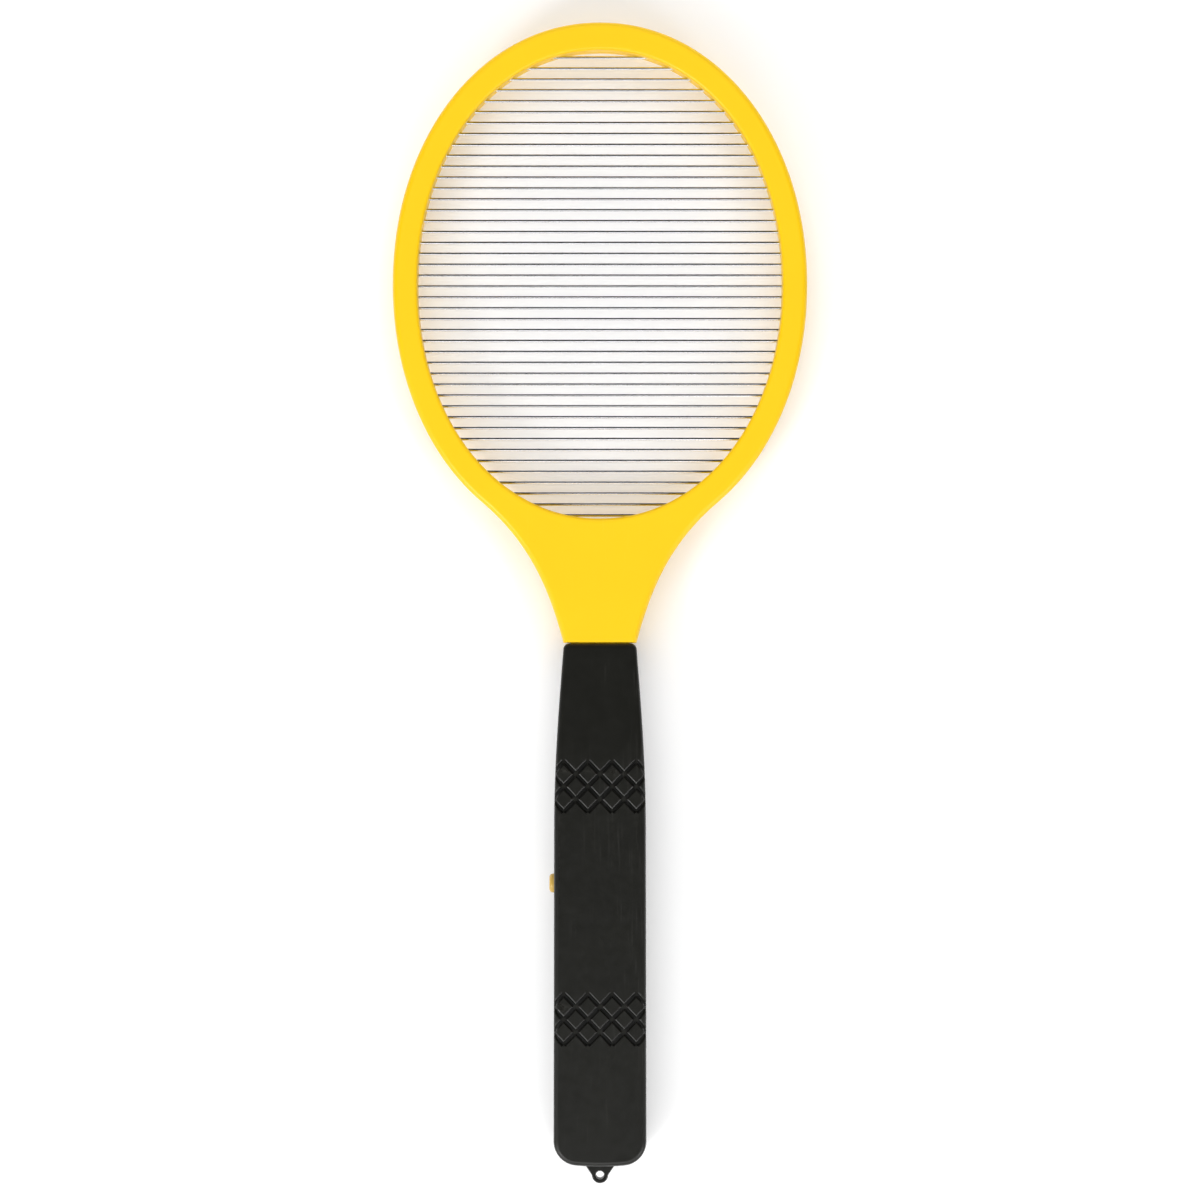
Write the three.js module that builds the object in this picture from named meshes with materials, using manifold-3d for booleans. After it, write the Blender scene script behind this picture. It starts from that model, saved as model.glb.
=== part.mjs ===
// Electric fly swatter: a battery handle carrying an oval head strung with high-voltage rods.
//
// It lies on the back of its handle. +Z comes out of the front face, +Y runs to the tip of the
// head, and the origin is under the middle of the whole object. All lengths are millimetres.

import * as THREE from 'three';
import { mergeVertices } from 'three/addons/utils/BufferGeometryUtils.js';
import Module from 'manifold-3d';

const wasm = await Module();
wasm.setup();

// ---------------------------------------------------------------- driving dimensions

const GAP = 0.3; // clearance between pieces that touch
const PARTING_Z = 12; // plane where the front and back halves meet
const CUT_MARGIN = 1; // how far a cutter reaches past what it cuts

// Head
const HEAD_CENTRE_Y = 126.2;
const HEAD_HALF_WIDTH = 82.2;
const HEAD_HALF_LENGTH = 103.8;
const RIM_WIDTH = 9.9;
const RIM_TIP_WIDTH = 11.1; // the rim is a little wider at the tip than at the sides
const RIM_HALF_THICKNESS = 6;
const OVAL_POWER = 2.05; // slightly fuller than an ellipse
const OVAL_STEPS = 44;
const OUTER_WALL = 1.6;
const INNER_WALL = 2.4;
const FACE_WALL = 1.6;

// Neck
const NECK_START_ANGLE = -0.972; // where the neck leaves the oval, from the +X axis
const NECK_FLARE = 23.1;
const NECK_STRAIGHTEN = 24.6;
const NECK_SLOPE = 0.26;
const NECK_END_HALF_WIDTH = 14.5;
const NECK_END_Y = -15.8;
const NECK_STEPS = 7;
const NECK_THICKENING_Y = 38;
const NECK_END_HALF_THICKNESS = 8;
const TONGUE_HALF_WIDTH = 11.6;
const TONGUE_HALF_THICKNESS = 6.5;
const TONGUE_END_Y = -34;
const TONGUE_WALL = 1.8;

// Rods
const ROD_COUNT = 43;
const ROD_PITCH = 4.327;
const ROD_TOP_Y = 216.6;
const ROD_RADIUS = 0.6;
const ROD_SIDES = 6;
const ROD_SEAT = 1.5; // how far a free rod end reaches into the inner wall
const BUS_THICKNESS = 0.8;
const BUS_HEIGHT = 4;
const BUS_END_ANGLE = 1.31;
const BUS_STEPS = 22;

// Handle
const HANDLE_TOP_Y = -16.1;
const HANDLE_TOP_HALF_WIDTH = 14.5;
const HANDLE_SHOULDER_Y = -85;
const HANDLE_SHOULDER_HALF_WIDTH = 18.1;
const HANDLE_HALF_WIDTH = 18.3;
const HANDLE_TOP_BEND = [-16, -38]; // control points of the left side's curve, from top to shoulder
const HANDLE_SHOULDER_BEND = [-17.9, -60];
const HANDLE_THICKNESS = 24;
const HANDLE_TOP_THICKNESS = 21;
const HANDLE_TAPER_Y = -60; // the front face starts to slope down to the neck here
const HANDLE_EDGE = 2.5;
const HANDLE_WALL = 2.2;
const TAIL_CORNER_RADIUS = 9.5;
const TAIL_CORNER_Y = -212.3;
const TAIL_CORNER_END_ANGLE = 4.625; // the corner stops just short of square, so the tail is convex
const LUG_END_Y = -230;
const LUG_HOLE_Y = -226.8;
const LUG_HOLE_RADIUS = 1.7;
const LUG_ROOT_HALF_WIDTH = 7.2;
const LUG_TIP_RADIUS = 3.2;
const LUG_HALF_THICKNESS = 3;

// Grip grooves
const GRIP_BANDS_Y = [-72.3, -164];
const GRIP_CELL_HALF_WIDTH = 4.77;
const GRIP_CELL_HALF_HEIGHT = 5;
const GRIP_GROOVE_WIDTH = 1.7;
const GRIP_GROOVE_DEPTH = 0.8;
const GRIP_LINES = [-5, -3, -1, 1, 3, 5]; // where the grooves cross the band's middle, in half cells

// Battery door and bay
const DOOR_TOP_Y = -154.3;
const DOOR_HALF_WIDTH = 15.2;
const DOOR_THICKNESS = 2.2;
const DOOR_LIP = 1;
const BAY_TOP_Y = -154.5;
const BAY_TAIL_Y = -211.8;
const BAY_WALL = 1.4;
const BAY_RIBS_Y = [-195, -172];
const CELL_RADIUS = 7.25;
const CELL_LENGTH = 50.5;
const CELL_SIDES = 16;
const CELL_NUB_RADIUS = 2.75;
const CELL_NUB_LENGTH = 1.3;
const CELL_X = 7.55;
const CELL_Z = 10.25;
const CONTACT_THICKNESS = 0.5;
const CONTACT_Z = [4, 17];
const CONTACT_REACH_X = 14;
const CONTACT_SPLIT_X = 1.5;
const CELL_SPRING = { wide: 4.2, narrow: 2.6, turns: 4, wire: 0.35 };
const CELL_SPRING_LENGTH = 4.4;
const CELL_EDGE = 0.6;

// Circuit board
const BOARD_HALF_WIDTH = 13;
const BOARD_Y = [-142, -66];
const BOARD_Z = [7, 8.6];
const BOARD_SCREWS_Y = [-71, -137];
const BOARD_POST_RADIUS = 2.8;
const BOARD_SCREW_TIP_Z = 4.2;
const BOARD_CORNER_CUT = 4;
const PART_Z = BOARD_Z[1] + GAP; // parts stand on the board from here

// Push button and switch, on the left side
const BUTTON_Y = -111.2;
const BUTTON_RADIUS = 3.8;
const BUTTON_PROUD = 1.8;
const BUTTON_FLANGE_RADIUS = 5.2;
const BUTTON_FLANGE = 0.9;
const SWITCH_BODY_X = [-12.2, -6.2];
const SWITCH_HALF_SIZE = 3.1;
const PLUNGER_RADIUS = 1.3;
const PLUNGER_COLLAR_RADIUS = 2;
const PLUNGER_COLLAR_LENGTH = 0.8;
const SWITCH_MOUTH = 1.2; // how thick the body is where the plunger comes out
const SWITCH_SPRING_X = [-9.5, -7.2];
const SWITCH_SPRING = { radius: 1.5, turns: 3.5, wire: 0.15 };
const BUTTON_DOME = [[0.55, 0.15], [0.87, 0.6], [1, 1.3]]; // share of the radius, depth

// Screws
const HANDLE_SCREWS_Y = [-25, -57, -147];
const TAIL_SCREW_Y = -216.9;
const HANDLE_POST_RADIUS = 4;
const HANDLE_SCREW = { headRadius: 2.6, headHeight: 2.4, shankRadius: 1.3, tipZ: 18.5 };
const FRAME_SCREW = { headRadius: 1.8, headHeight: 1, shankRadius: 0.9, tipZ: 15.3 };
const BOARD_SCREW = { headRadius: 2.2, headHeight: 1.5, shankRadius: 1.1 };
const HANDLE_SCREW_HEAD_Z = 0.8;
const TAIL_SCREW_HEAD_Z = 3.2;
const FRAME_SCREW_HEAD_Z = 6.4;
const FRAME_SCREW_DEGREES = [90, 25, 155, -35, 215]; // round the rim, from the +X axis
const FRAME_BOSS_RADIUS = 2.3;
const FRAME_BOSS_INSET = 3.5;
const NECK_SCREW_Y = 12;
const ROUND_SIDES = 10;
const PIN_SIDES = 4;

// Leads
const LEAD_RADIUS = 0.7;
const LEAD_SIDES = 6;
const LEAD_X = 12;
const LEAD_Z = 5;
const LEAD_NOTCH = 1.3;

// ---------------------------------------------------------------- solids and meshes

const object = new THREE.Group();

function toSolid(geometry) {
  const bare = geometry.clone();
  bare.deleteAttribute('normal');
  bare.deleteAttribute('uv');
  const merged = mergeVertices(bare);
  const vertProperties = new Float32Array(merged.attributes.position.array);
  const triVerts = new Uint32Array(merged.index.array);
  return new wasm.Manifold(new wasm.Mesh({ numProp: 3, vertProperties, triVerts }));
}

function toGeometry(solid) {
  const mesh = solid.getMesh();
  const geometry = new THREE.BufferGeometry();
  geometry.setAttribute('position', new THREE.BufferAttribute(mesh.vertProperties, 3));
  geometry.setIndex(new THREE.BufferAttribute(mesh.triVerts, 1));
  geometry.computeVertexNormals();
  return geometry;
}

function addPiece(name, shape, material) {
  const geometry = shape.isBufferGeometry ? shape : toGeometry(shape);
  const mesh = new THREE.Mesh(geometry, material.clone());
  mesh.name = name;
  object.add(mesh);
  return mesh;
}

function finish(color, roughness, metalness) {
  return new THREE.MeshStandardMaterial({ color, roughness, metalness });
}

const YELLOW_PLASTIC = finish(0xfcd52d, 0.42, 0);
const BLACK_PLASTIC = finish(0x2b2c29, 0.5, 0);
const GOLD_PLASTIC = finish(0xd9a92c, 0.35, 0);
const BRIGHT_STEEL = finish(0xdadde0, 0.15, 1);
const SCREW_STEEL = finish(0x9a9c9f, 0.3, 1);
const SPRING_STEEL = finish(0xb9bcc0, 0.25, 1);
const BOARD_LAMINATE = finish(0x9c6b34, 0.6, 0);
const FERRITE = finish(0x3a3a3d, 0.7, 0);
const WINDING_TAPE = finish(0xe0b43a, 0.45, 0);
const CAPACITOR_RED = finish(0x8f2f22, 0.35, 0);
const CERAMIC_BLUE = finish(0x2b62a8, 0.45, 0);
const PART_BLACK = finish(0x1c1c1e, 0.4, 0);
const RESISTOR_TAN = finish(0xcdb58a, 0.5, 0);
const CELL_JACKET = finish(0x3f6f56, 0.3, 0.4);
const LEAD_RED = finish(0xb5261f, 0.45, 0);
const LEAD_BLACK = finish(0x1b1b1b, 0.45, 0);
const LEAD_WHITE = finish(0xe6e3da, 0.45, 0);

// A closed outline, raised between two heights, with any holes through it.
function prism(points, lowZ, highZ, holes = []) {
  const shape = new THREE.Shape(points);
  shape.holes = holes.map((hole) => new THREE.Path(hole));
  const geometry = new THREE.ExtrudeGeometry(shape, { depth: highZ - lowZ, bevelEnabled: false });
  return toSolid(geometry.translate(0, 0, lowZ));
}

// An outline in (Y, Z), drawn across the whole width of the object.
function sideProfile(points, halfWidth) {
  const shape = new THREE.Shape(points);
  const geometry = new THREE.ExtrudeGeometry(shape, { depth: 2 * halfWidth, bevelEnabled: false });
  const turn = new THREE.Matrix4().makeBasis(
    new THREE.Vector3(0, 1, 0),
    new THREE.Vector3(0, 0, 1),
    new THREE.Vector3(1, 0, 0),
  );
  return toSolid(geometry.applyMatrix4(turn).translate(-halfWidth, 0, 0));
}

function box([x0, x1], [y0, y1], [z0, z1]) {
  const geometry = new THREE.BoxGeometry(x1 - x0, y1 - y0, z1 - z0);
  return geometry.translate((x0 + x1) / 2, (y0 + y1) / 2, (z0 + z1) / 2);
}

function block(x, y, z) {
  return toSolid(box(x, y, z));
}

// A round post that stands along Z.
function post(x, y, radius, lowZ, highZ, sides = ROUND_SIDES) {
  const geometry = new THREE.CylinderGeometry(radius, radius, highZ - lowZ, sides);
  return toSolid(geometry.rotateX(Math.PI / 2).translate(x, y, (lowZ + highZ) / 2));
}

// A turned piece: points are [radius, distance along the axis], starting and ending on the axis.
function turned(points, sides) {
  const profile = points.map(([radius, along]) => new THREE.Vector2(radius, along));
  return new THREE.LatheGeometry(profile, sides);
}

// A wire or tube of round section along a smooth route.
function wire(points, radius, steps, sides) {
  const route = new THREE.CatmullRomCurve3(points.map((point) => new THREE.Vector3(...point)));
  return tubeAlong(route, radius, steps, sides);
}

function tubeAlong(route, radius, steps, sides) {
  const section = new THREE.Shape(circle(0, 0, radius, sides));
  return new THREE.ExtrudeGeometry(section, { steps, extrudePath: route, bevelEnabled: false });
}

function circle(x, y, radius, sides) {
  const points = [];
  for (let i = 0; i < sides; i += 1) {
    const angle = (2 * Math.PI * i) / sides;
    points.push(new THREE.Vector2(x + radius * Math.cos(angle), y + radius * Math.sin(angle)));
  }
  return points;
}

function joined(solids) {
  return solids.reduce((all, solid) => all.add(solid));
}

// Everything below, or above, the parting plane.
function halves(solid) {
  const big = [-HEAD_HALF_LENGTH * 3, HEAD_HALF_LENGTH * 3];
  const below = block(big, big, [-HANDLE_THICKNESS, PARTING_Z - GAP / 2]);
  const above = block(big, big, [PARTING_Z + GAP / 2, 2 * HANDLE_THICKNESS]);
  return { back: solid.intersect(below), front: solid.intersect(above) };
}

// Moves each side of an anticlockwise outline inwards by the same distance.
function inset(points, distance) {
  return points.map((point, i) => {
    const before = points[(i + points.length - 1) % points.length];
    const after = points[(i + 1) % points.length];
    const normal = inward(before, point);
    const bisector = inward(point, after).add(normal).normalize();
    return point.clone().addScaledVector(bisector, distance / bisector.dot(normal));
  });
}

function inward(from, to) {
  return new THREE.Vector2(from.y - to.y, to.x - from.x).normalize();
}

// ---------------------------------------------------------------- head frame

const OPENING = { a: HEAD_HALF_WIDTH - RIM_WIDTH, b: HEAD_HALF_LENGTH - RIM_TIP_WIDTH };

function ovalPoint(a, b, angle) {
  const power = 2 / OVAL_POWER;
  const cos = Math.cos(angle);
  const sin = Math.sin(angle);
  const x = a * Math.sign(cos) * Math.abs(cos) ** power;
  const y = b * Math.sign(sin) * Math.abs(sin) ** power;
  return new THREE.Vector2(x, HEAD_CENTRE_Y + y);
}

// Half the width of an oval at a given Y.
function ovalHalfWidth({ a, b }, y) {
  const across = Math.min(1, Math.abs(y - HEAD_CENTRE_Y) / b) ** OVAL_POWER;
  return a * (1 - across) ** (1 / OVAL_POWER);
}

function grown({ a, b }, distance) {
  return { a: a + distance, b: b + distance };
}

function ovalArc({ a, b }, start, end, steps) {
  const points = [];
  for (let i = 0; i <= steps; i += 1) {
    points.push(ovalPoint(a, b, start + ((end - start) * i) / steps));
  }
  return points;
}

function oval(size) {
  return ovalArc(size, 0, 2 * Math.PI, OVAL_STEPS).slice(0, -1);
}

// The right-hand side of the neck, from its end up to the oval.
function neckSide() {
  const top = ovalPoint(HEAD_HALF_WIDTH, HEAD_HALF_LENGTH, NECK_START_ANGLE);
  const beyond = ovalPoint(HEAD_HALF_WIDTH, HEAD_HALF_LENGTH, NECK_START_ANGLE - 0.01);
  const flare = beyond.sub(top).setLength(NECK_FLARE).add(top);
  const end = new THREE.Vector2(NECK_END_HALF_WIDTH, NECK_END_Y);
  const straight = new THREE.Vector2(NECK_SLOPE, 1).setLength(NECK_STRAIGHTEN).add(end);
  return new THREE.CubicBezierCurve(end, straight, flare, top).getPoints(NECK_STEPS);
}

function headOutline() {
  const right = neckSide();
  const left = right.map((point) => new THREE.Vector2(-point.x, point.y)).reverse();
  const outer = { a: HEAD_HALF_WIDTH, b: HEAD_HALF_LENGTH };
  const arc = ovalArc(outer, NECK_START_ANGLE, Math.PI - NECK_START_ANGLE, OVAL_STEPS);
  return [...right, ...arc.slice(1, -1), ...left];
}

function neckHalfThickness(y) {
  const along = (NECK_THICKENING_Y - y) / (NECK_THICKENING_Y - NECK_END_Y);
  const eased = THREE.MathUtils.smoothstep(along, 0, 1);
  return RIM_HALF_THICKNESS + eased * (NECK_END_HALF_THICKNESS - RIM_HALF_THICKNESS);
}

// The head seen from the side, thinner all over by a wall where one is given.
function headSideProfile(wall) {
  const beyond = HEAD_CENTRE_Y + HEAD_HALF_LENGTH + CUT_MARGIN;
  const front = [new THREE.Vector2(beyond, PARTING_Z + RIM_HALF_THICKNESS - wall)];
  for (let i = 0; i <= NECK_STEPS; i += 1) {
    const y = THREE.MathUtils.lerp(NECK_THICKENING_Y, NECK_END_Y - CUT_MARGIN, i / NECK_STEPS);
    front.push(new THREE.Vector2(y, PARTING_Z + neckHalfThickness(y) - wall));
  }
  const back = front.map((point) => new THREE.Vector2(point.x, 2 * PARTING_Z - point.y));
  return sideProfile([...front, ...back.reverse()], HEAD_HALF_WIDTH + CUT_MARGIN);
}

function tongueBlock(wall, endY) {
  const halfWidth = TONGUE_HALF_WIDTH - wall;
  const halfThickness = TONGUE_HALF_THICKNESS - wall;
  const z = [PARTING_Z - halfThickness, PARTING_Z + halfThickness];
  return block([-halfWidth, halfWidth], [endY, NECK_END_Y + 2 * TONGUE_WALL], z);
}

function frameScrewPlaces() {
  const a = HEAD_HALF_WIDTH - FRAME_BOSS_INSET;
  const b = HEAD_HALF_LENGTH - FRAME_BOSS_INSET;
  const round = FRAME_SCREW_DEGREES.map((degrees) => ovalPoint(a, b, THREE.MathUtils.degToRad(degrees)));
  return [...round, new THREE.Vector2(0, NECK_SCREW_Y)];
}

function rodY(index) {
  return ROD_TOP_Y - index * ROD_PITCH;
}

// Even rods join the left bus strip, odd rods the right one.
function rodSide(index) {
  return index % 2 === 0 ? -1 : 1;
}

// Y of a line beside a rod, on the side nearer to the middle of the head or further from it.
function besideRod(index, distance) {
  const y = rodY(index);
  return y + Math.sign(HEAD_CENTRE_Y - y) * distance;
}

function freeRodEnd(index) {
  return ovalHalfWidth(OPENING, besideRod(index, ROD_RADIUS)) + ROD_SEAT;
}

function busRodEnd(index) {
  return ovalHalfWidth(busOval(0.5), rodY(index));
}

// The oval at a share of the bus strip's thickness, from its inner face.
function busOval(share) {
  return grown(OPENING, INNER_WALL + 1.5 * GAP + share * BUS_THICKNESS);
}

// Slots for the rods in the inner wall: through on the bus side, blind on the other.
function rodSlots() {
  const halfSlot = ROD_RADIUS + GAP;
  const z = [PARTING_Z - halfSlot, PARTING_Z + halfSlot];
  const slots = [];
  for (let i = 0; i < ROD_COUNT; i += 1) {
    const y = [rodY(i) - halfSlot, rodY(i) + halfSlot];
    const start = ovalHalfWidth(OPENING, besideRod(i, -halfSlot)) - CUT_MARGIN;
    const through = ovalHalfWidth(grown(OPENING, INNER_WALL), besideRod(i, halfSlot)) + GAP;
    const blind = freeRodEnd(i) + GAP;
    const right = rodSide(i) > 0 ? through : blind;
    const left = rodSide(i) > 0 ? blind : through;
    slots.push(block([start, right], y, z));
    slots.push(block([-left, -start], y, z));
  }
  return joined(slots);
}

function headFrames() {
  const outline = headOutline();
  const opening = oval(OPENING);
  const deep = [PARTING_Z - HANDLE_THICKNESS, PARTING_Z + HANDLE_THICKNESS];
  const shell = prism(outline, ...deep, [opening]).intersect(headSideProfile(0));
  const channelOutline = inset(outline, OUTER_WALL);
  const channelHole = oval(grown(OPENING, INNER_WALL));
  const channel = prism(channelOutline, ...deep, [channelHole]).intersect(headSideProfile(FACE_WALL));
  const hollow = channel.add(tongueBlock(TONGUE_WALL, TONGUE_END_Y - CUT_MARGIN));
  const solid = shell.add(tongueBlock(0, TONGUE_END_Y));
  const screwHole = post(0, HANDLE_SCREWS_Y[0], HANDLE_POST_RADIUS + 2 * GAP, ...deep);
  const bosses = [];
  const holes = [rodSlots(), screwHole];
  for (const { x, y } of frameScrewPlaces()) {
    bosses.push(post(x, y, FRAME_BOSS_RADIUS, ...deep));
    holes.push(post(x, y, FRAME_SCREW.shankRadius + GAP, deep[0], FRAME_SCREW.tipZ + GAP));
    const headTop = FRAME_SCREW_HEAD_Z + FRAME_SCREW.headHeight + GAP;
    holes.push(post(x, y, FRAME_SCREW.headRadius + GAP, deep[0], headTop));
  }
  const filled = solid.subtract(hollow).add(joined(bosses).intersect(solid));
  return halves(filled.subtract(joined(holes)));
}

const frames = headFrames();
addPiece('head_front_frame', frames.front, YELLOW_PLASTIC);
addPiece('head_back_frame', frames.back, YELLOW_PLASTIC);

// ---------------------------------------------------------------- rods and bus strips

function busStrip(side) {
  const outer = ovalArc(busOval(1), -BUS_END_ANGLE, BUS_END_ANGLE, BUS_STEPS);
  const inner = ovalArc(busOval(0), BUS_END_ANGLE, -BUS_END_ANGLE, BUS_STEPS);
  const outline = [...outer, ...inner];
  const facing = side > 0 ? outline : outline.map(({ x, y }) => new THREE.Vector2(-x, y)).reverse();
  return prism(facing, PARTING_Z - BUS_HEIGHT / 2, PARTING_Z + BUS_HEIGHT / 2);
}

function rod(index) {
  const side = rodSide(index);
  const from = side * busRodEnd(index);
  const to = -side * freeRodEnd(index);
  const length = Math.abs(to - from);
  const geometry = new THREE.CylinderGeometry(ROD_RADIUS, ROD_RADIUS, length, ROD_SIDES);
  return toSolid(geometry.rotateZ(Math.PI / 2).translate((from + to) / 2, rodY(index), PARTING_Z));
}

function rodComb(side) {
  const pieces = [busStrip(side)];
  for (let i = 0; i < ROD_COUNT; i += 1) {
    if (rodSide(i) === side) {
      pieces.push(rod(i));
    }
  }
  return joined(pieces);
}

addPiece('rods_live', rodComb(-1), BRIGHT_STEEL);
addPiece('rods_return', rodComb(1), BRIGHT_STEEL);

// ---------------------------------------------------------------- handle shells and door

function handleOutline() {
  const halfTail = HANDLE_HALF_WIDTH - TAIL_CORNER_RADIUS;
  const corner = (angle) => new THREE.Vector2(
    -halfTail + TAIL_CORNER_RADIUS * Math.cos(angle),
    TAIL_CORNER_Y + TAIL_CORNER_RADIUS * Math.sin(angle),
  );
  const left = new THREE.Path();
  left.moveTo(-HANDLE_TOP_HALF_WIDTH, HANDLE_TOP_Y);
  left.bezierCurveTo(
    ...HANDLE_TOP_BEND,
    ...HANDLE_SHOULDER_BEND,
    -HANDLE_SHOULDER_HALF_WIDTH,
    HANDLE_SHOULDER_Y,
  );
  left.lineTo(-HANDLE_HALF_WIDTH, TAIL_CORNER_Y);
  left.absarc(-halfTail, TAIL_CORNER_Y, TAIL_CORNER_RADIUS, Math.PI, TAIL_CORNER_END_ANGLE, false);
  const end = corner(TAIL_CORNER_END_ANGLE);
  const slope = -1 / Math.tan(TAIL_CORNER_END_ANGLE);
  left.quadraticCurveTo(end.x / 2, end.y - (slope * end.x) / 2, 0, end.y - (slope * end.x) / 2);
  const points = left.getPoints(5);
  const right = points.slice(0, -1).map((point) => new THREE.Vector2(-point.x, point.y)).reverse();
  return [...points, ...right];
}

function handleSideProfile(wall) {
  const top = HANDLE_TOP_Y + CUT_MARGIN;
  const tail = LUG_END_Y - CUT_MARGIN;
  const points = [
    [tail, wall],
    [top, wall],
    [top, HANDLE_TOP_THICKNESS - wall],
    [HANDLE_TAPER_Y, HANDLE_THICKNESS - wall],
    [tail, HANDLE_THICKNESS - wall],
  ];
  return sideProfile(points.map(([y, z]) => new THREE.Vector2(y, z)), HANDLE_HALF_WIDTH + CUT_MARGIN);
}

// The whole handle as one solid, with its long edges eased.
function handleBody() {
  const geometry = new THREE.ExtrudeGeometry(new THREE.Shape(handleOutline()), {
    depth: HANDLE_THICKNESS - 2 * HANDLE_EDGE,
    bevelThickness: HANDLE_EDGE,
    bevelSize: HANDLE_EDGE,
    bevelOffset: -HANDLE_EDGE,
    bevelSegments: 2,
  });
  return toSolid(geometry.translate(0, 0, HANDLE_EDGE)).intersect(handleSideProfile(0));
}

// Everything deeper than a given distance inside the handle.
function handleInside(depth) {
  const outline = inset(handleOutline(), depth);
  return prism(outline, 0, HANDLE_THICKNESS).intersect(handleSideProfile(depth));
}

function lug() {
  const rootY = TAIL_CORNER_Y - TAIL_CORNER_RADIUS + CUT_MARGIN;
  const tipY = LUG_END_Y + LUG_TIP_RADIUS;
  const outline = new THREE.Shape();
  outline.moveTo(LUG_ROOT_HALF_WIDTH, rootY);
  outline.lineTo(-LUG_ROOT_HALF_WIDTH, rootY);
  outline.lineTo(-LUG_TIP_RADIUS, tipY);
  outline.absarc(0, tipY, LUG_TIP_RADIUS, Math.PI, 2 * Math.PI, false);
  const hole = circle(0, LUG_HOLE_Y, LUG_HOLE_RADIUS, ROUND_SIDES);
  const z = [PARTING_Z - LUG_HALF_THICKNESS, PARTING_Z + LUG_HALF_THICKNESS];
  return prism(outline.getPoints(5), ...z, [hole]);
}

// Crossing grooves that leave three rows of diamond pads on the front face.
function gripGrooves(bandY) {
  const slope = Math.atan2(GRIP_CELL_HALF_HEIGHT, GRIP_CELL_HALF_WIDTH);
  const reach = 2 * Math.hypot(GRIP_CELL_HALF_WIDTH, GRIP_CELL_HALF_HEIGHT);
  const bars = [];
  for (const k of GRIP_LINES) {
    for (const lean of [-1, 1]) {
      const bar = box([-reach, reach], [-GRIP_GROOVE_WIDTH / 2, GRIP_GROOVE_WIDTH / 2], [-1, CUT_MARGIN]);
      bar.scale(1, 1, GRIP_GROOVE_DEPTH);
      bar.rotateZ(lean * slope);
      bars.push(toSolid(bar.translate(k * GRIP_CELL_HALF_WIDTH, bandY, HANDLE_THICKNESS)));
    }
  }
  return joined(bars);
}

// Runs along X through the left side wall, round the push button.
function buttonHole() {
  const geometry = new THREE.CylinderGeometry(
    BUTTON_RADIUS + GAP,
    BUTTON_RADIUS + GAP,
    2 * HANDLE_WALL + 2,
    2 * ROUND_SIDES,
  );
  return toSolid(geometry.rotateZ(Math.PI / 2).translate(-HANDLE_HALF_WIDTH, BUTTON_Y, PARTING_Z));
}

function tongueHole() {
  const halfWidth = TONGUE_HALF_WIDTH + GAP;
  const halfThickness = TONGUE_HALF_THICKNESS + GAP;
  const y = [HANDLE_TOP_Y - HANDLE_WALL - CUT_MARGIN, HANDLE_TOP_Y + CUT_MARGIN];
  return block([-halfWidth, halfWidth], y, [PARTING_Z - halfThickness, PARTING_Z + halfThickness]);
}

// The plate and side lips of the door, or, grown by a gap, the track that it slides in.
function doorSpace(gap) {
  const halfWidth = DOOR_HALF_WIDTH + gap;
  const y = [LUG_END_Y, DOOR_TOP_Y + gap];
  const plate = block([-halfWidth, halfWidth], y, [-CUT_MARGIN, DOOR_THICKNESS + gap]);
  const lipZ = [DOOR_THICKNESS - DOOR_LIP - gap, DOOR_THICKNESS + gap];
  return plate.add(block([-halfWidth - DOOR_LIP, halfWidth + DOOR_LIP], y, lipZ));
}

function screwPosts() {
  const shellPosts = [...HANDLE_SCREWS_Y, TAIL_SCREW_Y].map((y) => (
    post(0, y, HANDLE_POST_RADIUS, 0, HANDLE_THICKNESS)
  ));
  const boardPosts = BOARD_SCREWS_Y.map((y) => post(0, y, BOARD_POST_RADIUS, 0, BOARD_Z[0] - GAP));
  return joined([...shellPosts, ...boardPosts]);
}

function screwHoles() {
  const holes = [];
  for (const y of [...HANDLE_SCREWS_Y, TAIL_SCREW_Y]) {
    const headZ = y === TAIL_SCREW_Y ? TAIL_SCREW_HEAD_Z : HANDLE_SCREW_HEAD_Z;
    const headTop = headZ + HANDLE_SCREW.headHeight + GAP;
    holes.push(post(0, y, HANDLE_SCREW.headRadius + GAP, -CUT_MARGIN, headTop));
    holes.push(post(0, y, HANDLE_SCREW.shankRadius + GAP, 0, HANDLE_SCREW.tipZ + GAP));
  }
  for (const y of BOARD_SCREWS_Y) {
    holes.push(post(0, y, BOARD_SCREW.shankRadius + GAP, HANDLE_WALL + CUT_MARGIN, PARTING_Z));
  }
  return joined(holes);
}

// Walls at each end of the battery bay, and two ribs that hold the cells down.
function bayWalls() {
  const wide = [-HANDLE_HALF_WIDTH, HANDLE_HALF_WIDTH];
  const narrow = [-DOOR_HALF_WIDTH, DOOR_HALF_WIDTH];
  const upperZ = [PARTING_Z + GAP / 2, HANDLE_THICKNESS];
  const ribZ = [CELL_Z + CELL_RADIUS + GAP, HANDLE_THICKNESS];
  const top = block(wide, [BAY_TOP_Y, BAY_TOP_Y + BAY_WALL], upperZ);
  const lowerTop = block(narrow, [BAY_TOP_Y, BAY_TOP_Y + BAY_WALL], [DOOR_THICKNESS + 2 * GAP, upperZ[1]]);
  const tail = block(wide, [BAY_TAIL_Y - BAY_WALL, BAY_TAIL_Y], upperZ);
  const ribs = BAY_RIBS_Y.map((y) => block(wide, [y, y + BAY_WALL], ribZ));
  const leadNotches = [-1, 1].map((side) => {
    const x = [side * LEAD_X - LEAD_NOTCH, side * LEAD_X + LEAD_NOTCH];
    return block(x, [BAY_TOP_Y - CUT_MARGIN, BAY_TOP_Y + BAY_WALL + CUT_MARGIN], [0, LEAD_Z + LEAD_NOTCH]);
  });
  return joined([top, lowerTop, tail, ...ribs]).subtract(joined(leadNotches));
}

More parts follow.
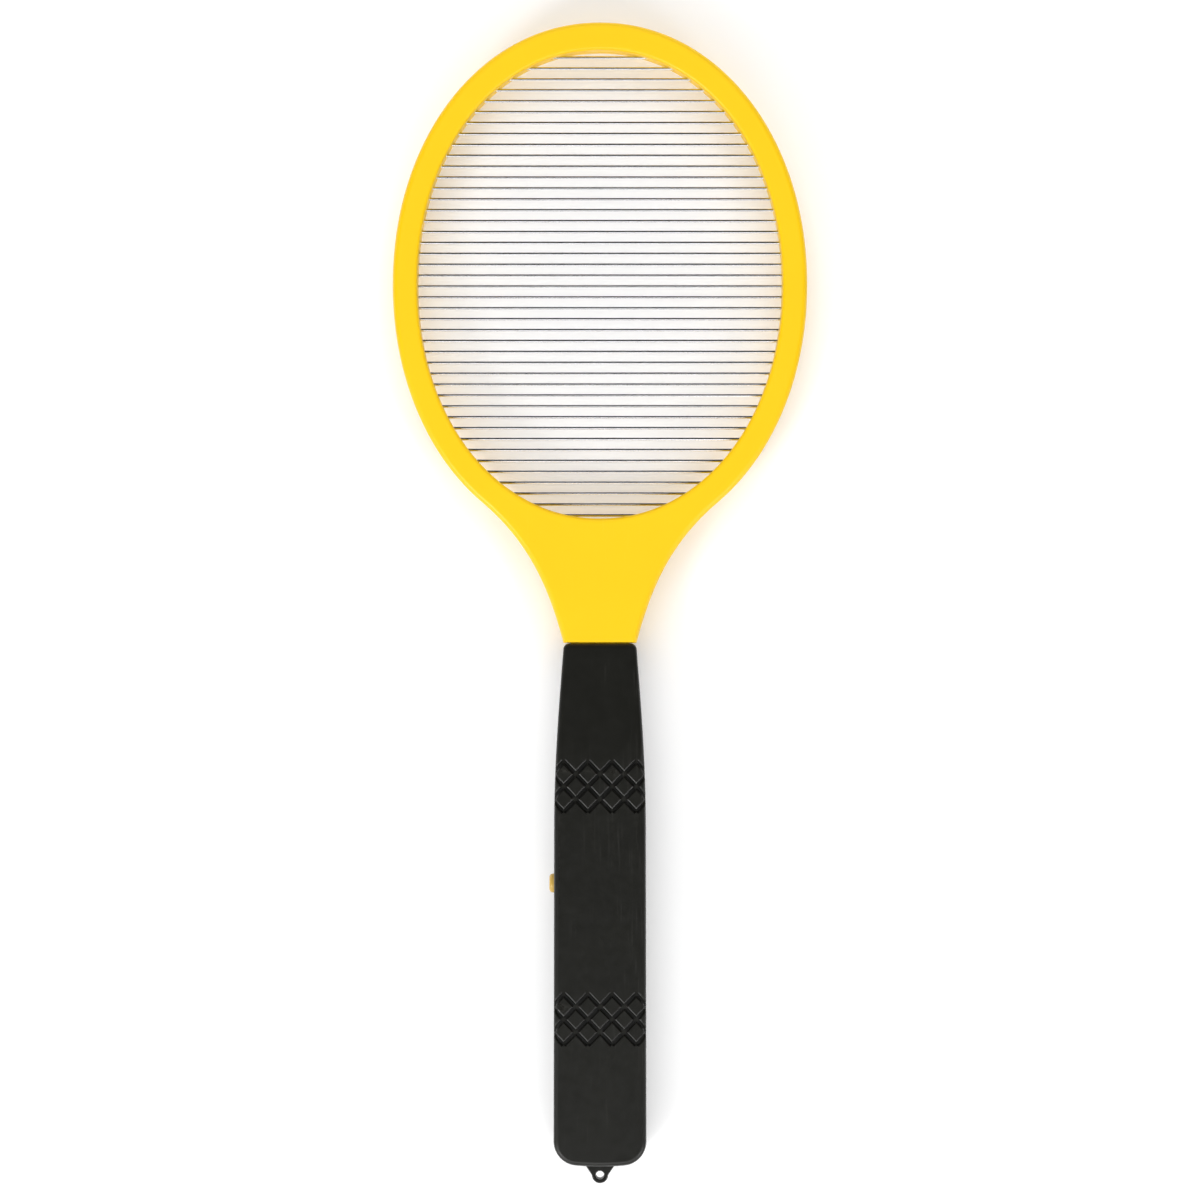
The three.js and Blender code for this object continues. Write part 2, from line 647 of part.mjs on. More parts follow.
// A floor beside the tail screw, which the door slides over.
function tailFloor() {
  const z = [DOOR_THICKNESS + GAP, DOOR_THICKNESS + GAP + HANDLE_WALL];
  const wide = [-HANDLE_HALF_WIDTH, HANDLE_HALF_WIDTH];
  const wall = block(wide, [BAY_TAIL_Y - BAY_WALL, BAY_TAIL_Y], [z[0], PARTING_Z]);
  return block(wide, [LUG_END_Y, BAY_TAIL_Y], z).add(wall);
}

function handleShells() {
  const body = handleBody();
  const inner = handleInside(HANDLE_WALL / 2);
  const doorTrack = doorSpace(GAP);
  const skin = body.add(lug()).subtract(handleInside(HANDLE_WALL));
  const openings = joined([tongueHole(), buttonHole(), ...GRIP_BANDS_Y.map(gripGrooves)]);
  const { back, front } = halves(skin.subtract(openings));
  const posts = halves(screwPosts().intersect(inner));
  const backBits = posts.back.add(halves(tailFloor().intersect(inner)).back);
  const frontBits = posts.front.add(bayWalls().intersect(inner));
  const holes = screwHoles();
  return {
    back: back.add(backBits).subtract(doorTrack).subtract(holes),
    front: front.add(frontBits).subtract(holes),
    door: body.intersect(doorSpace(0)),
  };
}

const shells = handleShells();
addPiece('handle_front_shell', shells.front, BLACK_PLASTIC);
addPiece('handle_back_shell', shells.back, BLACK_PLASTIC);
addPiece('battery_door', shells.door, BLACK_PLASTIC);

// ---------------------------------------------------------------- screws

// A pan-head screw that points along +Z, its head's outer face at the origin.
function screw({ headRadius, headHeight, shankRadius }, length) {
  const points = [
    [0, 0],
    [headRadius, 0],
    [headRadius, headHeight],
    [shankRadius, headHeight],
    [shankRadius, length - shankRadius],
    [0, length],
  ];
  return turned(points, ROUND_SIDES).rotateX(Math.PI / 2);
}

function addScrews() {
  frameScrewPlaces().forEach(({ x, y }, i) => {
    const length = FRAME_SCREW.tipZ - FRAME_SCREW_HEAD_Z;
    addPiece(`frame_screw_${i + 1}`, screw(FRAME_SCREW, length), SCREW_STEEL)
      .position.set(x, y, FRAME_SCREW_HEAD_Z);
  });
  [...HANDLE_SCREWS_Y, TAIL_SCREW_Y].forEach((y, i) => {
    const headZ = y === TAIL_SCREW_Y ? TAIL_SCREW_HEAD_Z : HANDLE_SCREW_HEAD_Z;
    addPiece(`handle_screw_${i + 1}`, screw(HANDLE_SCREW, HANDLE_SCREW.tipZ - headZ), SCREW_STEEL)
      .position.set(0, y, headZ);
  });
  BOARD_SCREWS_Y.forEach((y, i) => {
    const top = PART_Z + BOARD_SCREW.headHeight;
    const mesh = addPiece(`board_screw_${i + 1}`, screw(BOARD_SCREW, top - BOARD_SCREW_TIP_Z), SCREW_STEEL);
    mesh.position.set(0, y, top);
    mesh.rotation.x = Math.PI;
  });
}

addScrews();

// ---------------------------------------------------------------- push button and switch

const BUTTON_FACE_X = -HANDLE_HALF_WIDTH - BUTTON_PROUD;
const FLANGE_X = -HANDLE_HALF_WIDTH + HANDLE_WALL + 1.5 * GAP;
const PLUNGER_TIP_X = FLANGE_X + BUTTON_FLANGE + GAP;

// Places a piece turned about its own axis so that the axis runs along +X at the button.
function alongButton(geometry) {
  return geometry.rotateZ(-Math.PI / 2).translate(0, BUTTON_Y, PARTING_Z);
}

function pushButton() {
  const points = [
    [0, BUTTON_FACE_X],
    ...BUTTON_DOME.map(([share, depth]) => [BUTTON_RADIUS * share, BUTTON_FACE_X + depth]),
    [BUTTON_RADIUS, FLANGE_X],
    [BUTTON_FLANGE_RADIUS, FLANGE_X],
    [BUTTON_FLANGE_RADIUS, FLANGE_X + BUTTON_FLANGE],
    [0, FLANGE_X + BUTTON_FLANGE],
  ];
  return alongButton(turned(points, 2 * ROUND_SIDES));
}

function switchPlunger() {
  const end = SWITCH_SPRING_X[0] - GAP;
  const points = [
    [0, PLUNGER_TIP_X],
    [PLUNGER_RADIUS, PLUNGER_TIP_X],
    [PLUNGER_RADIUS, end - PLUNGER_COLLAR_LENGTH],
    [PLUNGER_COLLAR_RADIUS, end - PLUNGER_COLLAR_LENGTH],
    [PLUNGER_COLLAR_RADIUS, end],
    [0, end],
  ];
  return alongButton(turned(points, ROUND_SIDES));
}

function switchBody() {
  const y = [BUTTON_Y - SWITCH_HALF_SIZE - 1, BUTTON_Y + SWITCH_HALF_SIZE + 1];
  const z = [PART_Z, PARTING_Z + SWITCH_HALF_SIZE];
  const mouth = SWITCH_BODY_X[0] + SWITCH_MOUTH;
  const bore = [
    [0, SWITCH_BODY_X[0] - CUT_MARGIN],
    [PLUNGER_RADIUS + GAP, SWITCH_BODY_X[0] - CUT_MARGIN],
    [PLUNGER_RADIUS + GAP, mouth],
    [PLUNGER_COLLAR_RADIUS + GAP, mouth],
    [PLUNGER_COLLAR_RADIUS + GAP, SWITCH_SPRING_X[1] + GAP],
    [0, SWITCH_SPRING_X[1] + GAP],
  ];
  return block(SWITCH_BODY_X, y, z).subtract(toSolid(alongButton(turned(bore, ROUND_SIDES))));
}

// A round wire wound about +Y, from one height to another, its ends closed.
class Helix extends THREE.Curve {
  constructor(radiusStart, radiusEnd, low, high, turns) {
    super();
    Object.assign(this, { radiusStart, radiusEnd, low, high, turns });
  }

  getPoint(t, target = new THREE.Vector3()) {
    const radius = THREE.MathUtils.lerp(this.radiusStart, this.radiusEnd, t);
    const angle = 2 * Math.PI * this.turns * t;
    const height = THREE.MathUtils.lerp(this.low, this.high, t);
    return target.set(radius * Math.cos(angle), height, radius * Math.sin(angle));
  }
}

function coil(radiusStart, radiusEnd, low, high, turns, wireRadius) {
  const helix = new Helix(radiusStart, radiusEnd, low + wireRadius, high - wireRadius, turns);
  return tubeAlong(helix, wireRadius, Math.round(turns * 8), PIN_SIDES);
}

function addSwitch() {
  addPiece('push_button', pushButton(), GOLD_PLASTIC);
  addPiece('switch_body', switchBody(), PART_BLACK);
  addPiece('switch_plunger', switchPlunger(), LEAD_WHITE);
  const { radius, turns, wire: wireRadius } = SWITCH_SPRING;
  const spring = coil(radius, radius, ...SWITCH_SPRING_X, turns, wireRadius);
  addPiece('switch_spring', alongButton(spring), SPRING_STEEL);
}

addSwitch();

// ---------------------------------------------------------------- circuit board and its parts

function circuitBoard() {
  const x = [-BOARD_HALF_WIDTH, BOARD_HALF_WIDTH];
  const holes = BOARD_SCREWS_Y.map((y) => post(0, y, BOARD_SCREW.shankRadius + GAP, 0, PARTING_Z));
  const cut = [-BOARD_CORNER_CUT, BOARD_CORNER_CUT];
  const corners = [-1, 1].flatMap((side) => BOARD_Y.map((y) => {
    const corner = box(cut, cut, [0, PARTING_Z]).rotateZ(Math.PI / 4);
    return toSolid(corner.translate(side * (BOARD_HALF_WIDTH + BOARD_CORNER_CUT / 2), y, 0));
  }));
  return block(x, BOARD_Y, BOARD_Z).subtract(joined([...holes, ...corners]));
}

const CORE_X = [-3, 10.5];
const CORE_Y = [-100, -88.5];
const CORE_TOP_Z = 19.8;
const CORE_LEG = 2.6;

// A ferrite core with two windows, open along Y.
function transformerCore() {
  const whole = block(CORE_X, CORE_Y, [PART_Z + 1, CORE_TOP_Z]);
  const middle = (CORE_X[0] + CORE_X[1]) / 2;
  const z = [PART_Z + 1 + CORE_LEG, CORE_TOP_Z - CORE_LEG];
  const y = [CORE_Y[0] - CUT_MARGIN, CORE_Y[1] + CUT_MARGIN];
  const left = block([CORE_X[0] + CORE_LEG, middle - CORE_LEG / 2], y, z);
  const right = block([middle + CORE_LEG / 2, CORE_X[1] - CORE_LEG], y, z);
  return whole.subtract(left).subtract(right);
}

// The taped winding goes round the core's middle leg and bulges out at both ends.
function transformerWinding() {
  const middle = (CORE_X[0] + CORE_X[1]) / 2;
  const z = [PART_Z + 1 + CORE_LEG + GAP, CORE_TOP_Z - CORE_LEG - GAP];
  const bulge = 2.2;
  const x = [CORE_X[0] + CORE_LEG + GAP, CORE_X[1] - CORE_LEG - GAP];
  const leg = block(
    [middle - CORE_LEG / 2 - GAP, middle + CORE_LEG / 2 + GAP],
    [CORE_Y[0] - GAP, CORE_Y[1] + GAP],
    [z[0] - CUT_MARGIN, z[1] + CUT_MARGIN],
  );
  return block(x, [CORE_Y[0] - bulge, CORE_Y[1] + bulge], z).subtract(leg);
}

// A box-shaped part with two feet on the board.
function boxPart(x, y, height) {
  const raised = 0.6;
  const feet = [0.25, 0.75].map((share) => {
    const footX = THREE.MathUtils.lerp(...x, share);
    const footY = (y[0] + y[1]) / 2;
    return post(footX, footY, 0.4, PART_Z, PART_Z + raised + 1, PIN_SIDES);
  });
  return joined([block(x, y, [PART_Z + raised, PART_Z + height]), ...feet]);
}

const DISC_HALF_THICKNESS = 1.4;
const DISC_FLAT_SHARE = 0.8;
const DISC_LEG_X = 2.2;

// A disc on edge, its two wires going down to the board.
function discPart(x, y, radius) {
  const z = PART_Z + radius + 1;
  const points = [
    [0, -DISC_HALF_THICKNESS],
    [radius * DISC_FLAT_SHARE, -DISC_HALF_THICKNESS],
    [radius, 0],
    [radius * DISC_FLAT_SHARE, DISC_HALF_THICKNESS],
    [0, DISC_HALF_THICKNESS],
  ];
  const disc = turned(points, ROUND_SIDES);
  const legs = [-1, 1].map((side) => post(x + side * DISC_LEG_X, y, 0.35, PART_Z, z, PIN_SIDES));
  return joined([toSolid(disc.translate(x, 0, -y).rotateX(Math.PI / 2).translate(0, 0, z)), ...legs]);
}

// A part with a wire at each end, bent down to the board. It lies along X.
function axialPart(x, y, radius, halfBody) {
  const z = PART_Z + radius + 0.2;
  const reach = halfBody + 1.8;
  const points = [
    [0, -reach],
    [0.35, -reach],
    [0.35, -halfBody],
    [radius, -halfBody],
    [radius, halfBody],
    [0.35, halfBody],
    [0.35, reach],
    [0, reach],
  ];
  const body = toSolid(turned(points, 8).rotateZ(Math.PI / 2).translate(x, y, z));
  const legs = [-1, 1].map((side) => post(x + side * reach, y, 0.45, PART_Z, z + 0.35, PIN_SIDES));
  return joined([body, ...legs]);
}

const FLAT_ANGLE = 0.45;
const TRANSISTOR_RADIUS = 2.3;
const TRANSISTOR_LEG_STEP = 1.27;
const TRANSISTOR_Z = [PART_Z + 2.2, PART_Z + 7];

// A half-round body on three legs, its flat face towards +Y.
function transistor(x, y) {
  const outline = [];
  const steps = 8;
  for (let i = 0; i <= steps; i += 1) {
    const angle = Math.PI - FLAT_ANGLE + ((Math.PI + 2 * FLAT_ANGLE) * i) / steps;
    outline.push(new THREE.Vector2(
      x + TRANSISTOR_RADIUS * Math.cos(angle),
      y + TRANSISTOR_RADIUS * Math.sin(angle),
    ));
  }
  const legs = [-1, 0, 1].map((step) => (
    post(x + step * TRANSISTOR_LEG_STEP, y, 0.3, PART_Z, PART_Z + 3, PIN_SIDES)
  ));
  return joined([prism(outline, ...TRANSISTOR_Z), ...legs]);
}

const FILM_CAPACITOR = { x: [-1, 11], y: [-117, -111], height: 9.6 };
const DISC_CAPACITORS = { x: -8, y: [-76, -84], radius: 3.4 };
const DIODES = { x: 7.6, y: [-72, -75.8, -79.6, -83.4], radius: 1.35, halfBody: 2.4 };
const RESISTORS = { x: 4, y: [-121.5, -125, -128.5], radius: 1.1, halfBody: 3 };
const TRANSISTOR_PLACE = [-8, -98];

function addBoard() {
  addPiece('circuit_board', circuitBoard(), BOARD_LAMINATE);
  addPiece('transformer_core', transformerCore(), FERRITE);
  addPiece('transformer_winding', transformerWinding(), WINDING_TAPE);
  const film = boxPart(FILM_CAPACITOR.x, FILM_CAPACITOR.y, FILM_CAPACITOR.height);
  addPiece('film_capacitor', film, CAPACITOR_RED);
  DISC_CAPACITORS.y.forEach((y, i) => {
    const disc = discPart(DISC_CAPACITORS.x, y, DISC_CAPACITORS.radius);
    addPiece(`ceramic_capacitor_${i + 1}`, disc, CERAMIC_BLUE);
  });
  DIODES.y.forEach((y, i) => {
    addPiece(`hv_diode_${i + 1}`, axialPart(DIODES.x, y, DIODES.radius, DIODES.halfBody), PART_BLACK);
  });
  addPiece('transistor', transistor(...TRANSISTOR_PLACE), PART_BLACK);
  RESISTORS.y.forEach((y, i) => {
    const resistor = axialPart(RESISTORS.x, y, RESISTORS.radius, RESISTORS.halfBody);
    addPiece(`resistor_${i + 1}`, resistor, RESISTOR_TAN);
  });
}

addBoard();

// ---------------------------------------------------------------- battery cells and contacts

// A cell from its flat end to its nub, along the given direction of Y.
function cell(x, flatY, direction) {
  const shoulder = CELL_LENGTH - CELL_NUB_LENGTH;
  const points = [
    [0, 0],
    [CELL_RADIUS - CELL_EDGE, 0],
    [CELL_RADIUS, CELL_EDGE],
    [CELL_RADIUS, shoulder - CELL_EDGE],
    [CELL_RADIUS - CELL_EDGE, shoulder],
    [CELL_NUB_RADIUS, shoulder],
    [CELL_NUB_RADIUS, CELL_LENGTH],
    [0, CELL_LENGTH],
  ];
  const geometry = turned(points, CELL_SIDES);
  if (direction < 0) {
    geometry.rotateX(Math.PI);
  }
  return geometry.translate(x, flatY, CELL_Z);
}

const CONTACT_TAIL_Y = BAY_TAIL_Y + GAP;
const CONTACT_TOP_Y = BAY_TOP_Y - GAP - CONTACT_THICKNESS;

function addPower() {
  const leftFlat = CONTACT_TAIL_Y + CONTACT_THICKNESS + CELL_SPRING_LENGTH + 2 * GAP;
  const rightFlat = CONTACT_TOP_Y - CELL_SPRING_LENGTH - 2 * GAP;
  addPiece('battery_left', cell(-CELL_X, leftFlat, 1), CELL_JACKET);
  addPiece('battery_right', cell(CELL_X, rightFlat, -1), CELL_JACKET);
  const tailY = [CONTACT_TAIL_Y, CONTACT_TAIL_Y + CONTACT_THICKNESS];
  const topY = [CONTACT_TOP_Y, CONTACT_TOP_Y + CONTACT_THICKNESS];
  addPiece('contact_link_plate', box([-CONTACT_REACH_X, CONTACT_REACH_X], tailY, CONTACT_Z), SPRING_STEEL);
  const positive = box([-CONTACT_REACH_X, -CONTACT_SPLIT_X], topY, CONTACT_Z);
  addPiece('contact_positive_plate', positive, SPRING_STEEL);
  const negative = box([CONTACT_SPLIT_X, CONTACT_REACH_X], topY, CONTACT_Z);
  addPiece('contact_negative_plate', negative, SPRING_STEEL);
  const { wide, narrow, turns, wire: wireRadius } = CELL_SPRING;
  const leftCoil = coil(wide, narrow, 0, CELL_SPRING_LENGTH, turns, wireRadius);
  const leftY = CONTACT_TAIL_Y + CONTACT_THICKNESS + GAP;
  addPiece('battery_spring_left', leftCoil.translate(-CELL_X, leftY, CELL_Z), SPRING_STEEL);
  const rightCoil = coil(wide, narrow, 0, CELL_SPRING_LENGTH, turns, wireRadius).rotateX(Math.PI);
  addPiece('battery_spring_right', rightCoil.translate(CELL_X, CONTACT_TOP_Y - GAP, CELL_Z), SPRING_STEEL);
}

addPower();

// ---------------------------------------------------------------- leads

function batteryLead(side) {
  const route = [
    [side * LEAD_X, BAY_TOP_Y + GAP / 2, LEAD_Z],
    [side * LEAD_X, BAY_TOP_Y + 5, LEAD_Z + 0.3],
    [side * (LEAD_X - 0.5), BOARD_Y[0] - 3.5, PART_Z + 0.6],
    [side * (LEAD_X - 3), BOARD_Y[0] + 4, PART_Z + LEAD_RADIUS + 0.1],
  ];
  return wire(route, LEAD_RADIUS, 10, LEAD_SIDES);
}

// From the board, through the tongue and the neck, to the lower end of a bus strip.
function highVoltageLead(side) {
  const route = [
    [side * 4, BOARD_Y[1] - 1, PART_Z + LEAD_RADIUS + 0.1],
    [side * 8.4, BOARD_Y[1] + 6, PART_Z + 2],
    [side * 7.6, -48, PARTING_Z],
    [side * 7.4, -32, PARTING_Z],
    [side * 7.4, NECK_END_Y, PARTING_Z],
    [side * 9, 0, PARTING_Z],
    [side * 13.5, 17, PARTING_Z],
    [side * 18.4, 31.6, PARTING_Z],
  ];
  return wire(route, LEAD_RADIUS, 22, LEAD_SIDES);
}

addPiece('hv_lead_live', highVoltageLead(-1), LEAD_RED);
addPiece('hv_lead_return', highVoltageLead(1), LEAD_WHITE);
addPiece('battery_lead_red', batteryLead(-1), LEAD_RED);
addPiece('battery_lead_black', batteryLead(1), LEAD_BLACK);

export default object;
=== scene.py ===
# Looks for the electric fly swatter. It lies on its back: +Z out of the front, +Y to the head's tip.
import math
import random

import bmesh
import bpy
from mathutils import Matrix, Vector


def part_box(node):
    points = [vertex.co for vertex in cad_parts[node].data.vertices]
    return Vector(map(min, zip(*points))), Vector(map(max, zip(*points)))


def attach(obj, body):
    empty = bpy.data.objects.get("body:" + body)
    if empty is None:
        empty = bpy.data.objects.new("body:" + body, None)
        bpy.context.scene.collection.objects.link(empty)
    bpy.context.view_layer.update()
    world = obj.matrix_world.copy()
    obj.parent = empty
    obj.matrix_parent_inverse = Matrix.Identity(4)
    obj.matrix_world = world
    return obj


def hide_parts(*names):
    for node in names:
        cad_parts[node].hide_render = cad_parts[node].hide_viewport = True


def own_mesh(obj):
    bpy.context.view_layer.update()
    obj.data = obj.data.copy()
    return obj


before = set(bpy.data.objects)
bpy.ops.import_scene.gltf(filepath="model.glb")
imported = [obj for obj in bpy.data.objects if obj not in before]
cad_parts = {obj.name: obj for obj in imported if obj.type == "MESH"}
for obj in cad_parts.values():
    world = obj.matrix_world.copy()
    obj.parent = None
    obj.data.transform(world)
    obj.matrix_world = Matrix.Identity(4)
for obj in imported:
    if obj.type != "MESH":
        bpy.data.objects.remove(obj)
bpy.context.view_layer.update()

# Shapes are worked out in millimetres. piece_from() turns a finished mesh into metres.
MM = 0.001
SEAM_GAP = 0.15  # half the gap at the parting plane between the front and back halves
TAU = 2 * math.pi
MERGE = 1e-4  # corners closer than this are one corner
CRUMB_VOLUME = 0.8  # a separate body under this many cubic millimetres is a skin left by a cut


def box_mm(node):
    low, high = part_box(node)
    return low / MM, high / MM


FRONT_HIGH = box_mm("handle_front_shell")[1]
BACK_HIGH = box_mm("handle_back_shell")[1]
HEAD_HIGH = box_mm("head_front_frame")[1]
DOOR_HIGH = box_mm("battery_door")[1]
PARTING_Z = BACK_HIGH.z + SEAM_GAP

# Head
HEAD_HALF_WIDTH = HEAD_HIGH.x
HEAD_HALF_LENGTH = 103.8
HEAD_CENTRE_Y = HEAD_HIGH.y - HEAD_HALF_LENGTH
RIM_TIP_WIDTH = 11.1
RIM_HALF_THICKNESS = 6.0
OVAL_POWER = 2.05
OPENING_A = 72.3
OPENING_B = HEAD_HALF_LENGTH - RIM_TIP_WIDTH
OUTER_EDGE = 2.4  # radius of the rim's outer edge
OPENING_EDGE = 1.5
OUTER_WALL = 1.6
INNER_WALL = 2.4
FACE_WALL = 1.6

# Neck
NECK_START_ANGLE = -0.972
NECK_FLARE = 23.1
NECK_STRAIGHTEN = 24.6
NECK_SLOPE = 0.26
NECK_END_HALF_WIDTH = 14.5
NECK_END_Y = -15.8
NECK_THICKENING_Y = 38.0
NECK_END_HALF_THICKNESS = 8.0
TONGUE_HALF_WIDTH = 11.6
TONGUE_END_Y = -34
TONGUE_ROOT = 2  # how far the tongue reaches back into the neck
TONGUE_HALF_THICKNESS = 6.5
TONGUE_WALL = 1.8

# Rods
ROD_COUNT = 43
ROD_PITCH = 4.327
ROD_TOP_Y = 216.6
ROD_RADIUS = 0.6
ROD_TIP = 0.3  # length of the rounded free end
ROD_HOLE_RADIUS = 0.95
ROD_SEAT = 1.5
ROD_END_GAP = 0.3
BUS_GAP = 0.45
BUS_THICKNESS = 0.8
BUS_HEIGHT = 4.0
BUS_END_ANGLE = 1.31
BUS_STEPS = 60

# Handle
HANDLE_TOP_Y = FRONT_HIGH.y
HANDLE_THICKNESS = FRONT_HIGH.z
HANDLE_HALF_WIDTH = FRONT_HIGH.x
HANDLE_TOP_HALF_WIDTH = 14.5
HANDLE_SHOULDER_Y = -85.0
HANDLE_SHOULDER_HALF_WIDTH = 18.1
HANDLE_TOP_BEND = Vector((-16.0, -38))  # control points of the left side's curve, from top to shoulder
HANDLE_SHOULDER_BEND = Vector((-17.9, -60))
HANDLE_SIDE = Vector((-HANDLE_HALF_WIDTH + 0.1, -150.0))  # the left side, between shoulder and tail
HANDLE_TAPER_Y = -60.0
HANDLE_TAPER = 3.0
TAPER_RUN_ON = 1  # the slope reaches its full depth this far past the top edge
HANDLE_EDGE = 2.0
HANDLE_CORNER = 2.2
HANDLE_WALL = 2.2
TAIL_CORNER_RADIUS = 9.5
TAIL_CORNER_Y = -212.3
TAIL_CORNER_END_ANGLE = 4.625
LUG_HOLE_Y = -226.8
LUG_HOLE_RADIUS = 1.7
LUG_ROOT_HALF_WIDTH = 7.0
LUG_ROOT_Y = -221.2
LUG_TIP_RADIUS = 3.2
LUG_HALF_THICKNESS = 3.0

# Grip
GRIP_BANDS_Y = (-72.3, -164.0)
GRIP_CELL_HALF_WIDTH = 4.77
GRIP_CELL_HALF_HEIGHT = 5.0
GRIP_LINES = (-7, -5, -3, -1, 1, 3, 5, 7)


# ------------------------------------------------------------------ outlines


def oval_point(a, b, angle):
    power = 2 / OVAL_POWER
    x = math.copysign(abs(math.cos(angle)) ** power, math.cos(angle))
    y = math.copysign(abs(math.sin(angle)) ** power, math.sin(angle))
    return Vector((a * x, HEAD_CENTRE_Y + b * y))


def oval_half_width(a, b, y):
    across = min(1.0, abs(y - HEAD_CENTRE_Y) / b) ** OVAL_POWER
    return a * (1 - across) ** (1 / OVAL_POWER)


def opening(grow, steps=160):
    return [oval_point(OPENING_A + grow, OPENING_B + grow, TAU * i / steps) for i in range(steps)]


def bezier(p0, p1, p2, p3, steps):
    points = []
    for i in range(steps + 1):
        t = i / steps
        s = 1 - t
        points.append(p0 * s**3 + p1 * 3 * t * s * s + p2 * 3 * t * t * s + p3 * t**3)
    return points


def inset(points, distance):
    """Moves each side of an anticlockwise outline inwards by the same distance."""
    moved = []
    for i, point in enumerate(points):
        before = points[i - 1]
        after = points[(i + 1) % len(points)]
        normal = inward(before, point)
        bisector = (normal + inward(point, after)).normalized()
        moved.append(point + bisector * (distance / bisector.dot(normal)))
    return moved


def inward(start, end):
    return Vector((start.y - end.y, end.x - start.x)).normalized()


def head_outline():
    top = oval_point(HEAD_HALF_WIDTH, HEAD_HALF_LENGTH, NECK_START_ANGLE)
    beyond = oval_point(HEAD_HALF_WIDTH, HEAD_HALF_LENGTH, NECK_START_ANGLE - 0.01)
    flare = top + (beyond - top).normalized() * NECK_FLARE
    end = Vector((NECK_END_HALF_WIDTH, NECK_END_Y))
    straight = end + Vector((NECK_SLOPE, 1)).normalized() * NECK_STRAIGHTEN
    right = bezier(end, straight, flare, top, 28)
    left = [Vector((-point.x, point.y)) for point in reversed(right)]
    sweep = math.pi - 2 * NECK_START_ANGLE
    steps = 132
    arc = [
        oval_point(HEAD_HALF_WIDTH, HEAD_HALF_LENGTH, NECK_START_ANGLE + sweep * i / steps)
        for i in range(1, steps)
    ]
    return right + arc + left


def arc(centre_x, centre_y, radius, start, end, steps):
    points = []
    for i in range(steps + 1):
        angle = start + (end - start) * i / steps
        points.append(Vector((centre_x + radius * math.cos(angle), centre_y + radius * math.sin(angle))))
    return points


def handle_outline():
    """Anticlockwise, from the top edge down the left side, round the tail and up the right."""
    half_tail = HANDLE_HALF_WIDTH - TAIL_CORNER_RADIUS
    corner_x = -HANDLE_TOP_HALF_WIDTH + HANDLE_CORNER
    left = arc(corner_x, HANDLE_TOP_Y - HANDLE_CORNER, HANDLE_CORNER, math.pi / 2, math.pi - 0.06, 7)
    start = left[-1]
    left += bezier(
        start,
        HANDLE_TOP_BEND,
        HANDLE_SHOULDER_BEND,
        Vector((-HANDLE_SHOULDER_HALF_WIDTH, HANDLE_SHOULDER_Y)),
        14,
    )[1:]
    left.append(HANDLE_SIDE)
    left += arc(-half_tail, TAIL_CORNER_Y, TAIL_CORNER_RADIUS, math.pi, TAIL_CORNER_END_ANGLE, 14)
    end = left[-1]
    slope = -1 / math.tan(TAIL_CORNER_END_ANGLE)
    control = Vector((end.x / 2, end.y - slope * end.x / 2))
    lowest = Vector((0, control.y))
    for i in range(1, 6):
        t = i / 5
        left.append(end * (1 - t) ** 2 + control * 2 * t * (1 - t) + lowest * t * t)
    right = [Vector((-point.x, point.y)) for point in reversed(left[:-1])]
    return left + right


HANDLE_OUTLINE = handle_outline()


def handle_half_width(y):
    left = [point for point in HANDLE_OUTLINE if point.x < 0]
    for above, below in zip(left, left[1:]):
        if below.y <= y <= above.y:
            share = (above.y - y) / max(above.y - below.y, 1e-6)
            return -(above.x + (below.x - above.x) * share)
    return HANDLE_HALF_WIDTH


# ------------------------------------------------------------------ mesh tools (millimetres)


def face_outwards(bm):
    bmesh.ops.recalc_face_normals(bm, faces=bm.faces)
    if bm.calc_volume(signed=True) < 0:
        bmesh.ops.reverse_faces(bm, faces=bm.faces)


def solid_from_rings(rings):
    """A closed solid through rings of points with one count, its first and last ring filled."""
    bm = bmesh.new()
    loops = [[bm.verts.new(point) for point in ring] for ring in rings]
    for lower, upper in zip(loops, loops[1:]):
        for i in range(len(lower)):
            j = (i + 1) % len(lower)
            bm.faces.new((lower[i], lower[j], upper[j], upper[i]))
    bm.faces.new(list(reversed(loops[0])))
    bm.faces.new(loops[-1])
    face_outwards(bm)
    return bm


def at_height(outline, z):
    return [Vector((point.x, point.y, z)) for point in outline]


def prism(outline, low_z, high_z):
    return solid_from_rings([at_height(outline, low_z), at_height(outline, high_z)])


def block(x, y, z):
    outline = [Vector((x[0], y[0])), Vector((x[1], y[0])), Vector((x[1], y[1])), Vector((x[0], y[1]))]
    return prism(outline, *z)


def turned(profile, sides, matrix=None):
    """A solid turned about Z: profile is (radius, z) from one end of the axis to the other."""
    rings = []
    for radius, z in profile:
        rings.append([
            Vector((radius * math.cos(TAU * i / sides), radius * math.sin(TAU * i / sides), z))
            for i in range(sides)
        ])
    bm = solid_from_rings(rings)
    if matrix:
        bm.transform(matrix)
    return bm


def swept(points, radius, sides):
    """A round wire through points, with rounded ends."""
    rings = []
    up = Vector((0, 0, 1))
    count = len(points)
    for i, point in enumerate(points):
        ahead = points[min(i + 1, count - 1)] - points[max(i - 1, 0)]
        ahead.normalize()
        side = ahead.cross(up)
        if side.length < 1e-3:
            side = ahead.cross(Vector((0, 1, 0)))
        side.normalize()
        up = side.cross(ahead).normalized()
        ring_radii = [(radius, 0.0)]
        if i == 0:
            ring_radii = [(radius * 0.55, -radius * 0.32), (radius * 0.9, -radius * 0.12), (radius, 0.0)]
        if i == count - 1:
            ring_radii = [(radius, 0.0), (radius * 0.9, radius * 0.12), (radius * 0.55, radius * 0.32)]
        for size, shift in ring_radii:
            rings.append([
                point + ahead * shift
                + (side * math.cos(TAU * k / sides) + up * math.sin(TAU * k / sides)) * size
                for k in range(sides)
            ])
    return solid_from_rings(rings)


